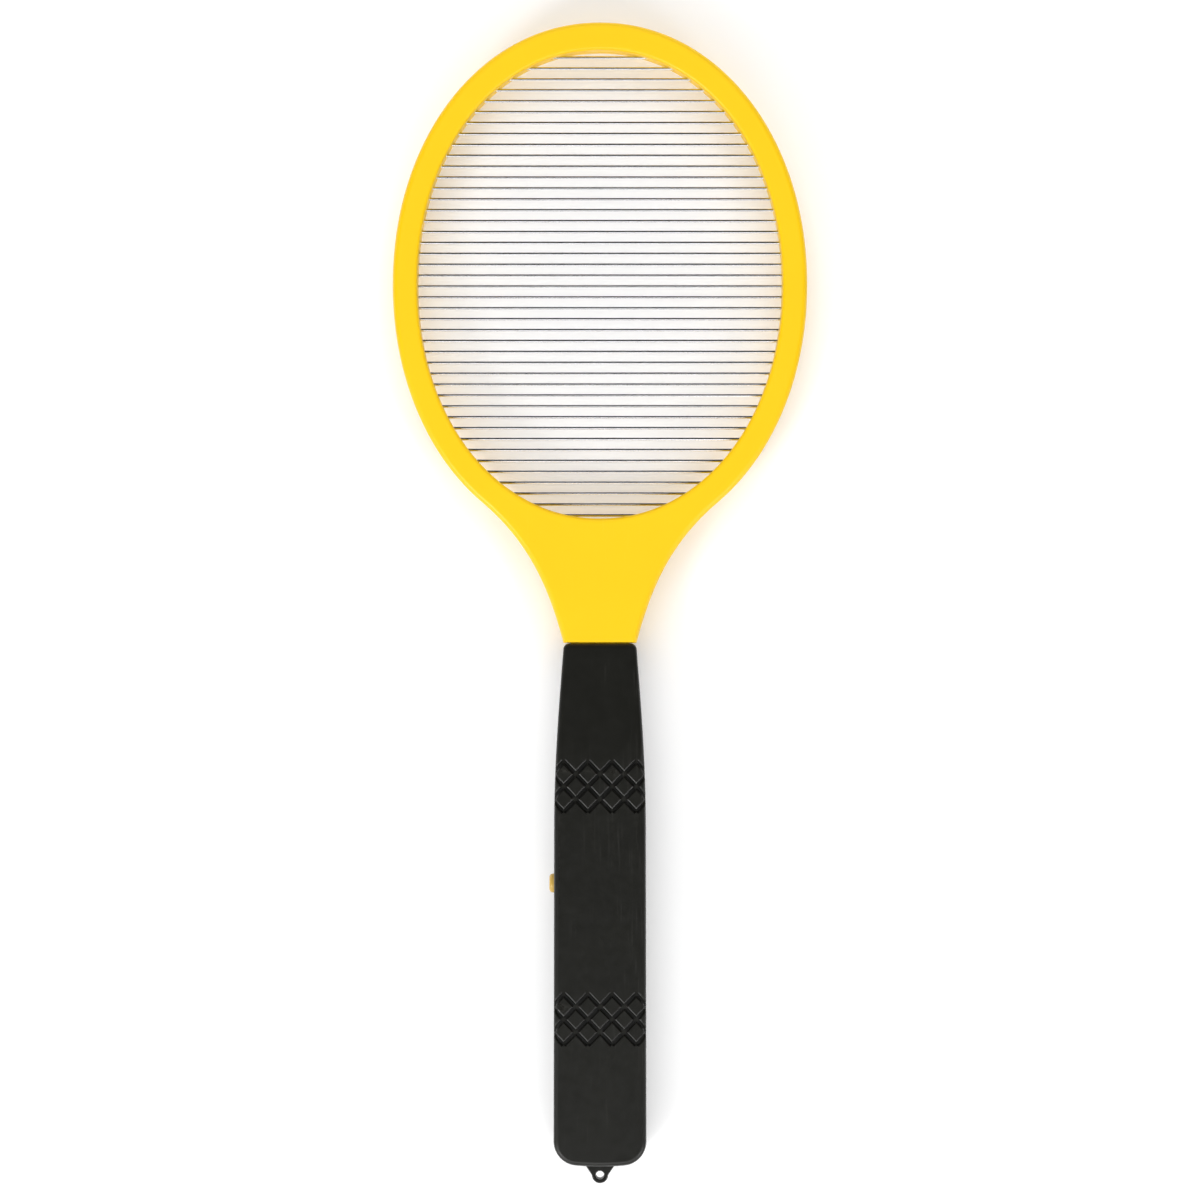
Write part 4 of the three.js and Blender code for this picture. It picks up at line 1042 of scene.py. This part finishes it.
def front_shell():
    body = carved(handle_cup(1), lug(1), "UNION")
    body = carved(body, tongue_hole())
    body = carved(body, button_hole())
    body = grooved(body, 1)
    wide = (-HANDLE_HALF_WIDTH, HANDLE_HALF_WIDTH)
    roof = HANDLE_THICKNESS
    seam = PARTING_Z + SEAM_GAP
    bits = [
        block(wide, (BAY_TOP_Y, BAY_TOP_Y + BAY_WALL), (seam, roof)),
        block(wide, (BAY_TAIL_Y - BAY_WALL, BAY_TAIL_Y), (seam, roof)),
    ]
    bits += [block(wide, (y, y + BAY_WALL), (RIB_LOW_Z, roof)) for y in BAY_RIBS_Y]
    body = filled(body, merged(bits))
    posts = [post(y, POST_RADIUS, seam, roof) for y in (*HANDLE_SCREWS_Y, TAIL_SCREW_Y)]
    body = filled(body, merged(posts))
    lower_y = (BAY_TOP_Y + DIVIDER_GAP, BAY_TOP_Y + BAY_WALL - DIVIDER_GAP)
    lower_wall = block((-DOOR_HALF_WIDTH, DOOR_HALF_WIDTH), lower_y, (DIVIDER_LOW_Z, seam + PAST))
    notches = []
    for side in (-1, 1):
        x = (side * LEAD_X - LEAD_NOTCH_HALF_WIDTH, side * LEAD_X + LEAD_NOTCH_HALF_WIDTH)
        notches.append(block(x, (BAY_TOP_Y - PAST, BAY_TOP_Y + BAY_WALL + PAST), (0, LEAD_NOTCH_TOP_Z)))
    body = carved(body, carved(lower_wall, merged(notches)), "UNION")
    drills = [post(y, SHANK_ROOM, *POST_BORE_Z) for y in (*HANDLE_SCREWS_Y, TAIL_SCREW_Y)]
    return carved(body, merged(drills))


def screw_seat(z):
    """The part of a screw hole's profile where its head's room narrows to its shank's."""
    return (HEAD_ROOM, z), (SHANK_ROOM, z), (SHANK_ROOM, SHANK_TOP_Z)


def back_shell():
    body = carved(handle_cup(-1), lug(-1), "UNION")
    body = carved(body, tongue_hole())
    body = carved(body, button_hole())
    body = grooved(body, -1)
    seam = PARTING_Z - SEAM_GAP
    wide = (-HANDLE_HALF_WIDTH, HANDLE_HALF_WIDTH)
    posts = [post(y, POST_RADIUS, POST_ROOT_Z, seam) for y in (*HANDLE_SCREWS_Y, TAIL_SCREW_Y)]
    posts += [post(y, BOARD_POST_RADIUS, POST_ROOT_Z, BOARD_POST_TOP_Z) for y in BOARD_POSTS_Y]
    body = filled(body, merged(posts))
    floor_z = DOOR_THICKNESS + DOOR_GAP
    floor = block(wide, (LOWEST_Y + PAST, BAY_TAIL_Y - BAY_WALL / 2), (floor_z, floor_z + HANDLE_WALL))
    wall = block(wide, (BAY_TAIL_Y - BAY_WALL, BAY_TAIL_Y), (floor_z, seam))
    body = filled(body, carved(floor, wall, "UNION"))
    track_x = DOOR_HALF_WIDTH + DOOR_GAP
    track_y = (LOWEST_Y + PAST, DOOR_TOP_Y + DOOR_GAP)
    body = carved(body, block((-track_x, track_x), track_y, (-PAST, floor_z)))
    lip_x = track_x + DOOR_LIP
    body = carved(body, block((-lip_x, lip_x), track_y, (DOOR_THICKNESS - DOOR_LIP - DOOR_GAP, floor_z)))
    drills = []
    for y in HANDLE_SCREWS_Y:
        mouth = [(HEAD_ROOM + SCREW_MOUTH, -PAST), (HEAD_ROOM + SCREW_MOUTH, 0.0), (HEAD_ROOM, SCREW_MOUTH)]
        drills.append(bored(0, y, *mouth, *screw_seat(HEAD_SEAT_Z)))
    drills.append(bored(0, TAIL_SCREW_Y, (HEAD_ROOM, -PAST), *screw_seat(TAIL_HEAD_SEAT_Z)))
    drills += [post(y, BOARD_SCREW_ROOM, *BOARD_SCREW_Z) for y in BOARD_POSTS_Y]
    return carved(body, merged(drills))


def sliding_door():
    """The battery door: a plate with side lips, the grip carried across it and a grooved thumb pad."""
    rings = [at_height(HANDLE_OUTLINE, DOOR_SKIN_TOP_Z)]
    for distance, z in rounded_levels(HANDLE_EDGE, 0.0, -1):
        rings.append(at_height(inset(HANDLE_OUTLINE, distance), z))
    skin = solid_from_rings(rings)
    plate_rings = []
    for shrink, z in ((DOOR_EDGE, -PAST), (DOOR_EDGE, 0.0), (0, DOOR_EDGE), (0, DOOR_THICKNESS)):
        x = DOOR_HALF_WIDTH - shrink
        top = DOOR_TOP_Y - shrink
        plate_rings.append([
            Vector((x, LOWEST_Y, z)), Vector((x, top, z)), Vector((-x, top, z)), Vector((-x, LOWEST_Y, z)),
        ])
    plate = solid_from_rings(plate_rings)
    lip_x = DOOR_HALF_WIDTH + DOOR_LIP
    lips = block((-lip_x, lip_x), (LOWEST_Y, DOOR_TOP_Y), (DOOR_THICKNESS - DOOR_LIP, DOOR_THICKNESS))
    body = carved(skin, carved(plate, lips, "UNION"), "INTERSECT")
    body = grooved(body, -1)
    return carved(body, merged([thumb_groove(i) for i in range(THUMB_GROOVES)]))


def thumb_groove(index):
    """A cutter for one groove of the thumb pad: the middle ones are the longest, and the ends run out."""
    y = THUMB_TOP_Y - index * THUMB_PITCH
    half = THUMB_HALF_WIDTH - THUMB_ROUNDING * (index - (THUMB_GROOVES - 1) / 2) ** 2
    base = THUMB_SECTION[0][1]
    rings = []
    for x in (-half, -half + THUMB_RUN_OUT, half - THUMB_RUN_OUT, half):
        depth = THUMB_END_DEPTH if abs(x) == half else 1.0
        rings.append([Vector((x, y + a * depth, base + (z - base) * depth)) for a, z in THUMB_SECTION])
    return solid_from_rings(rings)


GROOVED_SMOOTH_ANGLE = 21
for name, body, shape, node in (
    ("handle_front_moulding", "swatter", front_shell, "handle_front_shell"),
    ("handle_back_moulding", "swatter", back_shell, "handle_back_shell"),
    ("battery_door_moulding", "door", sliding_door, "battery_door"),
):
    piece_from(shape(), name, body, BLACK, [node], GROOVED_SMOOTH_ANGLE)


# ------------------------------------------------------------------ screws


# The head's outline as shares of its radius and height, from its outer face to its underside.
SCREW_HEAD_PROFILE = ((0.4, 0.0), (0.72, 0.05), (0.92, 0.2), (1.0, 0.5), (1.0, 0.94), (0.95, 1.0))
SCREW_PITCH = 0.7  # the thread's sizes are shares of the shank's radius
SCREW_ROOT = 0.74
SCREW_POINT = 2.2
SCREW_TIP = 0.12
SCREW_CROSS = (0.58, 0.15, 0.62)  # arm and blade as shares of the head's radius, depth as one of its height


def screw(head_radius, head_height, shank_radius, length):
    """A pan-head screw that points along +Z, its head's outer face at the origin, with a cross recess."""
    profile = [(head_radius * across, head_height * along) for across, along in SCREW_HEAD_PROFILE]
    pitch = shank_radius * SCREW_PITCH
    root = shank_radius * SCREW_ROOT
    z = head_height
    while z < length - SCREW_POINT * shank_radius:
        profile += [(root, z), (root, z + pitch * 0.45), (shank_radius, z + pitch * 0.7)]
        z += pitch
    profile += [(root, z), (shank_radius * SCREW_TIP, length)]
    body = turned(profile, 28)
    arm = head_radius * SCREW_CROSS[0]
    blade = head_radius * SCREW_CROSS[1]
    depth = head_height * SCREW_CROSS[2]
    for long_x in (True, False):
        rings = []
        for z, share in ((-0.5, 1.25), (0.0, 1.0), (depth, 0.42)):
            a, b = (arm * share, blade) if long_x else (blade, arm * share)
            rings.append([Vector((x, y, z)) for x, y in ((-a, -b), (a, -b), (a, b), (-a, b))])
        body = carved(body, solid_from_rings(rings))
    return body


def place_screws(nodes, shape, turns):
    """A copy of a screw at each CAD screw, its head at the lowest point, turned to its own angle."""
    for node in nodes:
        low, high = box_mm(node)
        middle = (low + high) / 2
        copy = shape.copy()
        copy.transform(Matrix.Rotation(turns.uniform(0, TAU), 4, "Z"))
        copy.transform(Matrix.Translation((middle.x, middle.y, low.z)))
        piece_from(copy, f"{node}_part", "swatter", SCREW, [node], 30, weighted=False)
    shape.free()


FRAME_SCREW_SIZE = (1.8, 1.0, 0.9, 8.9)  # head radius, head height, shank radius, length
HANDLE_SCREW_SIZE = (2.6, 2.4, 1.3)  # head radius, head height, shank radius
HANDLE_SCREW_LENGTH = 17.7
TAIL_SCREW_LENGTH = 15.3
turns = random.Random(3)
FRAME_SCREWS = [f"frame_screw_{i + 1}" for i in range(6)]
HANDLE_SCREWS = [f"handle_screw_{i + 1}" for i in range(3)]
place_screws(FRAME_SCREWS, screw(*FRAME_SCREW_SIZE), turns)
place_screws(HANDLE_SCREWS, screw(*HANDLE_SCREW_SIZE, HANDLE_SCREW_LENGTH), turns)
place_screws(["handle_screw_4"], screw(*HANDLE_SCREW_SIZE, TAIL_SCREW_LENGTH), turns)

# ------------------------------------------------------------------ push button and its spring

BUTTON_LOW, BUTTON_HIGH = box_mm("push_button")
BUTTON_RADIUS = 3.8
BUTTON_FLANGE_RADIUS = 5.2
BUTTON_FLANGE = 0.9
BUTTON_CHAMFER = 0.15
BUTTON_DISH = ((0.5, 0.34), (1.1, 0.3), (1.5, 0.12), (1.75, 0.01))  # the hollow in its face: (radius, depth)
BUTTON_ROUNDING = 1.5
BUTTON_ROUNDING_DEPTH = 1.35


def along_button(profile, sides):
    """Turned about the line that the button moves along: profile is (radius, x)."""
    turn = Matrix.Translation((0, BUTTON_Y, PARTING_Z)) @ Matrix.Rotation(math.pi / 2, 4, "Y")
    return turned(profile, sides, turn)


def push_button():
    face = BUTTON_LOW.x
    flange = BUTTON_HIGH.x - BUTTON_FLANGE
    profile = [(radius, face + depth) for radius, depth in BUTTON_DISH]
    for i in range(7):
        angle = math.pi / 2 * i / 6
        radius = BUTTON_RADIUS - BUTTON_ROUNDING + BUTTON_ROUNDING * math.sin(angle)
        profile.append((radius, face + BUTTON_ROUNDING_DEPTH * (1 - math.cos(angle))))
    profile += [
        (BUTTON_RADIUS, flange),
        (BUTTON_FLANGE_RADIUS - BUTTON_CHAMFER, flange),
        (BUTTON_FLANGE_RADIUS, flange + BUTTON_CHAMFER),
        (BUTTON_FLANGE_RADIUS, BUTTON_HIGH.x - BUTTON_CHAMFER),
        (BUTTON_FLANGE_RADIUS - BUTTON_CHAMFER, BUTTON_HIGH.x),
    ]
    return along_button(profile, 56)


HELIX_STEPS = 28  # per turn
FLAT_TURNS = 0.7  # how much of a turn lies flat at each end


def helix(radius_start, radius_end, low, high, turns_count, wire_radius):
    """A spring wound about Z with its end turns lying flat."""
    points = []
    steps = int(turns_count * HELIX_STEPS)
    for i in range(steps + 1):
        t = i / steps
        lead = min(1.0, max(0.0, (t * turns_count - FLAT_TURNS) / (turns_count - 2 * FLAT_TURNS)))
        radius = radius_start + (radius_end - radius_start) * t
        angle = TAU * turns_count * t
        height = low + wire_radius + (high - low - 2 * wire_radius) * lead
        points.append(Vector((radius * math.cos(angle), radius * math.sin(angle), height)))
    return swept(points, wire_radius, 10)


piece_from(push_button(), "push_button_part", "button", GOLD, ["push_button"], 30)
SPRING_LOW, SPRING_HIGH = box_mm("switch_spring")
SPRING_RADIUS = 1.48
SPRING_TURNS = 4.5
SPRING_WIRE = 0.15
SPRING_END_GAP = 0.05
spring = helix(
    SPRING_RADIUS, SPRING_RADIUS, SPRING_LOW.x + SPRING_END_GAP, SPRING_HIGH.x - SPRING_END_GAP, SPRING_TURNS,
    SPRING_WIRE,
)
spring.transform(Matrix.Translation((0, BUTTON_Y, PARTING_Z)) @ Matrix.Rotation(math.pi / 2, 4, "Y"))
spring_piece = piece_from(
    spring, "switch_spring_part", "swatter", SPRING, ["switch_spring"], 40, weighted=False,
)
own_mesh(spring_piece)

# ------------------------------------------------------------------ cells and their springs

CELL_RADIUS = 7.25
CELL_NUB_RADIUS = 2.75
CELL_NUB_HEIGHT = 1.3
CELL_SPRING_Z = 10.25
CELL_SPRING_RADII = (4.15, 2.6)  # at the wall, at the cell
CELL_SPRING_TURNS = 4.5
CELL_SPRING_WIRE = 0.35
BAND_START = 0.72  # how far along the cell the pale band begins, from its flat end
BAND_FADE = 0.005


def cell_jacket_look(node, direction):
    """A printed jacket: a dark body, a pale band near the raised end and fine print grain. No marks."""
    look = Look(f"{node}_jacket")
    along = look.add("ShaderNodeSeparateXYZ")
    look.feed(along.inputs[0], look.place)
    low, high = box_mm(node)
    flat_end, raised_end = (low.y, high.y) if direction > 0 else (high.y, low.y)
    share = look.spread(along.outputs["Y"], flat_end * MM, raised_end * MM)
    band = look.spread(share, BAND_START, BAND_START + BAND_FADE)
    body = look.blend(band, rgb(40, 84, 62), rgb(186, 150, 78))
    body = look.blend(look.spread(look.noise(4, 4), 0.4, 0.8, 0.0, 0.25), body, rgb(150, 160, 150))
    rough = look.spread(look.noise(1.5, 4), 0.3, 0.7, 0.24, 0.36)
    return look.finish(body, rough, look.bump(look.noise(0.4, 2), 0.004), 0.3)


CELL_STEEL = metal("cell_steel", (0.72, 0.72, 0.73, 1.0), 0.22, dull=0.2)


def laid_along_y(node, direction, z):
    """Moves what is made along +Z onto a node, pointing at the head (direction 1) or the tail (-1)."""
    low, high = box_mm(node)
    start = low.y if direction > 0 else high.y
    turn = Matrix.Rotation(-direction * math.pi / 2, 4, "X")
    return Matrix.Translation(((low.x + high.x) / 2, start, z)) @ turn


def cell(node, direction):
    low, high = box_mm(node)
    length = high.y - low.y
    shoulder = length - CELL_NUB_HEIGHT
    flat_end = [
        (3.2, 0.0),
        (CELL_RADIUS - 1.1, 0.0),
        (CELL_RADIUS - 0.9, 0.12),
        (CELL_RADIUS - 0.55, 0.02),
        (CELL_RADIUS - 0.16, 0.18),
        (CELL_RADIUS, 0.6),
    ]
    crimp = [
        (CELL_RADIUS, shoulder - 0.6),
        (CELL_RADIUS - 0.16, shoulder - 0.18),
        (CELL_RADIUS - 0.6, shoulder),
        (CELL_RADIUS - 1.2, shoulder - 0.15),
    ]
    nub = [
        (CELL_NUB_RADIUS + 0.9, shoulder - 0.25),
        (CELL_NUB_RADIUS + 0.15, shoulder - 0.1),
        (CELL_NUB_RADIUS, shoulder + 0.25),
        (CELL_NUB_RADIUS, length - 0.25),
        (CELL_NUB_RADIUS - 0.25, length),
    ]
    middle = (low + high) / 2
    bm = turned(flat_end + crimp + nub, 56, laid_along_y(node, direction, middle.z))
    jacket = cell_jacket_look(node, direction)
    piece = piece_from(bm, f"{node}_cell", "swatter", jacket, [node], 30)
    piece.data.materials.append(CELL_STEEL)
    for face in piece.data.polygons:
        spot = face.center / MM
        radius = math.hypot(spot.x - middle.x, spot.z - middle.z)
        if radius < CELL_RADIUS - 1.0:
            face.material_index = 1


def cell_spring(node, direction):
    low, high = box_mm(node)
    bm = helix(*CELL_SPRING_RADII, 0, high.y - low.y, CELL_SPRING_TURNS, CELL_SPRING_WIRE)
    bm.transform(laid_along_y(node, direction, CELL_SPRING_Z))
    piece_from(bm, f"{node}_wire", "swatter", SPRING, [node], 40, weighted=False)


for side, direction in (("left", 1), ("right", -1)):
    cell(f"battery_{side}", direction)
for side, direction in (("left", 1), ("right", -1)):
    cell_spring(f"battery_spring_{side}", direction)

# ------------------------------------------------------------------ the other CAD pieces keep their shape


def laminate():
    """Paper laminate with a fibrous weave of darker and paler streaks."""
    look = Look("board_laminate")
    fibre = look.noise(0.5, 4, stretch=(1, 6, 1))
    body = look.blend(look.spread(fibre, 0.3, 0.7), rgb(140, 92, 44), rgb(178, 128, 72))
    return look.finish(body, look.spread(fibre, 0.3, 0.7, 0.5, 0.68), look.bump(fibre, 0.01))


RESISTOR_BANDS = (
    (0.22, rgb(120, 70, 30)),
    (0.42, rgb(30, 30, 30)),
    (0.62, rgb(200, 80, 30)),
    (0.82, rgb(190, 160, 60)),
)
DIODE_BAND = ((0.8, rgb(205, 205, 205)),)
BANDED_HALF_LENGTH = 3  # the bands' places, 0 to 1, are shares of twice this length
BAND_EDGE = 0.01


def banded(name, base, node, axis, bands, width=0.08):
    """A part with colour bands round it, placed along its body."""
    look = Look(name)
    along = look.add("ShaderNodeSeparateXYZ")
    look.feed(along.inputs[0], look.place)
    low, high = box_mm(node)
    middle = (getattr(low, axis) + getattr(high, axis)) / 2
    ends = ((middle - BANDED_HALF_LENGTH) * MM, (middle + BANDED_HALF_LENGTH) * MM)
    share = look.spread(along.outputs[axis.upper()], *ends)
    body = look.blend(look.noise(0.8, 3), shaded(base, 0.93), shaded(base, 1.05))
    for place, colour in bands:
        low_edge = place - width / 2
        high_edge = place + width / 2
        risen = look.spread(share, low_edge, low_edge + BAND_EDGE)
        inside = look.times(risen, look.spread(share, high_edge, high_edge - BAND_EDGE))
        body = look.blend(inside, body, colour)
    rough = look.spread(look.noise(0.6), 0.3, 0.7, 0.3, 0.5)
    return look.finish(body, rough, look.bump(look.noise(0.3), 0.01))


LAMINATE = laminate()
FERRITE = moulded_plastic(
    "ferrite", rgb(50, 50, 54), rgb(90, 90, 92), 0.62, grain=(0.12, 0.02), contrast=0.12,
)
TAPE = moulded_plastic("winding_tape", rgb(222, 176, 50), rgb(240, 210, 110), 0.38, contrast=0.08)
CAPACITOR = moulded_plastic("capacitor_red", rgb(134, 40, 28), rgb(170, 80, 60), 0.3, contrast=0.08)
CERAMIC = moulded_plastic("ceramic_blue", rgb(36, 88, 158), rgb(90, 130, 190), 0.4, contrast=0.08)
LEAD_LOOKS = {
    "red": moulded_plastic("lead_red", rgb(176, 30, 24), rgb(205, 80, 70), 0.42, contrast=0.05),
    "black": moulded_plastic("lead_black", rgb(26, 26, 26), rgb(60, 60, 60), 0.42, contrast=0.05),
    "white": moulded_plastic("lead_white", rgb(224, 220, 208), rgb(240, 238, 230), 0.42, contrast=0.05),
}
DIODE = banded("hv_diode_black", rgb(28, 28, 30), "hv_diode_1", "x", DIODE_BAND, 0.12)
RESISTOR = banded("resistor_tan", rgb(202, 178, 132), "resistor_1", "x", RESISTOR_BANDS)
CAD_LOOKS = {
    "switch_body": SWITCH_BLACK,
    "switch_plunger": PLUNGER,
    "circuit_board": LAMINATE,
    "transformer_core": FERRITE,
    "transformer_winding": TAPE,
    "film_capacitor": CAPACITOR,
    "ceramic_capacitor": CERAMIC,
    "hv_diode": DIODE,
    "transistor": SWITCH_BLACK,
    "resistor": RESISTOR,
    "contact": SPRING,
    "board_screw": SCREW,
    "hv_lead_live": LEAD_LOOKS["red"],
    "hv_lead_return": LEAD_LOOKS["white"],
    "battery_lead_red": LEAD_LOOKS["red"],
    "battery_lead_black": LEAD_LOOKS["black"],
}

ROUNDING = 0.12
ROUNDED_ABOVE_DEGREES = 35

for name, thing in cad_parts.items():
    looks = [material for start, material in CAD_LOOKS.items() if name.startswith(start)]
    if thing.hide_render or not looks:
        continue
    thing.data.materials.clear()
    thing.data.materials.append(looks[0])
    if "lead" not in name:
        rounding = thing.modifiers.new("rounding", "BEVEL")
        rounding.width = ROUNDING * MM
        rounding.segments = 2
        rounding.limit_method = "ANGLE"
        rounding.angle_limit = math.radians(ROUNDED_ABOVE_DEGREES)


# ------------------------------------------------------------------ stage, light and camera

# Places and sizes from here on are in metres.
FLOOR_Z = -0.0004
FLOOR_GLOW = 0.19
FLOOR_HALF = 9.0
FLOOR_TONES = ((0.86, 0.86, 0.86, 1.0), (0.88, 0.88, 0.88, 1.0))
WORLD_RISE = (0.08, 0.26)  # how high up the pale part ends, from 0 at the horizon to 1 overhead
WORLD_AT_HORIZON = 0.7
WORLD_OVERHEAD = 0.055


def studio_floor():
    bm = bmesh.new()
    corners = ((-1, -1), (1, -1), (1, 1), (-1, 1))
    bm.faces.new([bm.verts.new((x * FLOOR_HALF, y * FLOOR_HALF, FLOOR_Z)) for x, y in corners])
    mesh = bpy.data.meshes.new("studio_floor")
    bm.to_mesh(mesh)
    bm.free()
    floor = bpy.data.objects.new("studio_floor", mesh)
    bpy.context.scene.collection.objects.link(floor)
    look = Look("studio_paper")
    tone = look.blend(look.noise(60, 2), *FLOOR_TONES)
    look.finish(tone, 0.9, Specular_IOR_Level=0.1, Emission_Color=(1, 1, 1, 1), Emission_Strength=FLOOR_GLOW)
    mesh.materials.append(look.material)


def softbox(name, place, target, size, radiance, in_reflections=True):
    """A rectangular light of even brightness, aimed at a point."""
    light = bpy.data.lights.new(name, "AREA")
    light.shape = "RECTANGLE"
    light.size, light.size_y = size
    light.energy = radiance * math.pi * size[0] * size[1]
    lamp = bpy.data.objects.new(name, light)
    lamp.location = place
    lamp.rotation_mode = "QUATERNION"
    lamp.rotation_quaternion = (Vector(target) - Vector(place)).to_track_quat("-Z", "Y")
    lamp.visible_glossy = in_reflections
    bpy.context.scene.collection.objects.link(lamp)


def surroundings():
    """The studio round the object: pale near the floor, dark overhead."""
    world = bpy.data.worlds.new("studio")
    world.use_nodes = True
    bpy.context.scene.world = world
    tree = world.node_tree
    place = tree.nodes.new("ShaderNodeTexCoord")
    split = tree.nodes.new("ShaderNodeSeparateXYZ")
    tree.links.new(place.outputs["Generated"], split.inputs[0])
    ramp = tree.nodes.new("ShaderNodeMapRange")
    tree.links.new(split.outputs["Z"], ramp.inputs["Value"])
    ramp.inputs["From Min"].default_value, ramp.inputs["From Max"].default_value = WORLD_RISE
    ramp.inputs["To Min"].default_value = WORLD_AT_HORIZON
    ramp.inputs["To Max"].default_value = WORLD_OVERHEAD
    tree.links.new(ramp.outputs["Result"], tree.nodes["Background"].inputs["Color"])


ON_HANDLE = (0, -0.1, 0)
KEY_SIZE = (0.5, 0.4)

studio_floor()
surroundings()
softbox("ceiling", (0, -0.15, 2.0), (0, -0.05, 0), (2.6, 2.6), 0.6, in_reflections=False)
softbox("tip_fill", (0, 1.2, 1.1), (0, 0.1, 0), (1.4, 0.9), 3.5, in_reflections=False)
softbox("tail_softbox", (-0.1, -0.95, 0.85), ON_HANDLE, (1.3, 0.7), 2.6)
softbox("tail_left_key", (-1.2, -1.15, 1.1), ON_HANDLE, KEY_SIZE, 24)
softbox("tail_right_fill", (1.2, -1.15, 1.1), ON_HANDLE, KEY_SIZE, 15)

CAMERA_DISTANCE = 1.4
FRAME_WIDTH = 0.4766
CAMERA_Y = 0.0012

camera = bpy.data.cameras.new("camera")
camera.sensor_width = 36
camera.lens = camera.sensor_width * CAMERA_DISTANCE / FRAME_WIDTH
camera.clip_end = 100
eye = bpy.data.objects.new("camera", camera)
eye.location = (0, CAMERA_Y, PARTING_Z * MM + CAMERA_DISTANCE)
bpy.context.scene.collection.objects.link(eye)
bpy.context.scene.camera = eye
bpy.context.scene.view_settings.view_transform = "Standard"
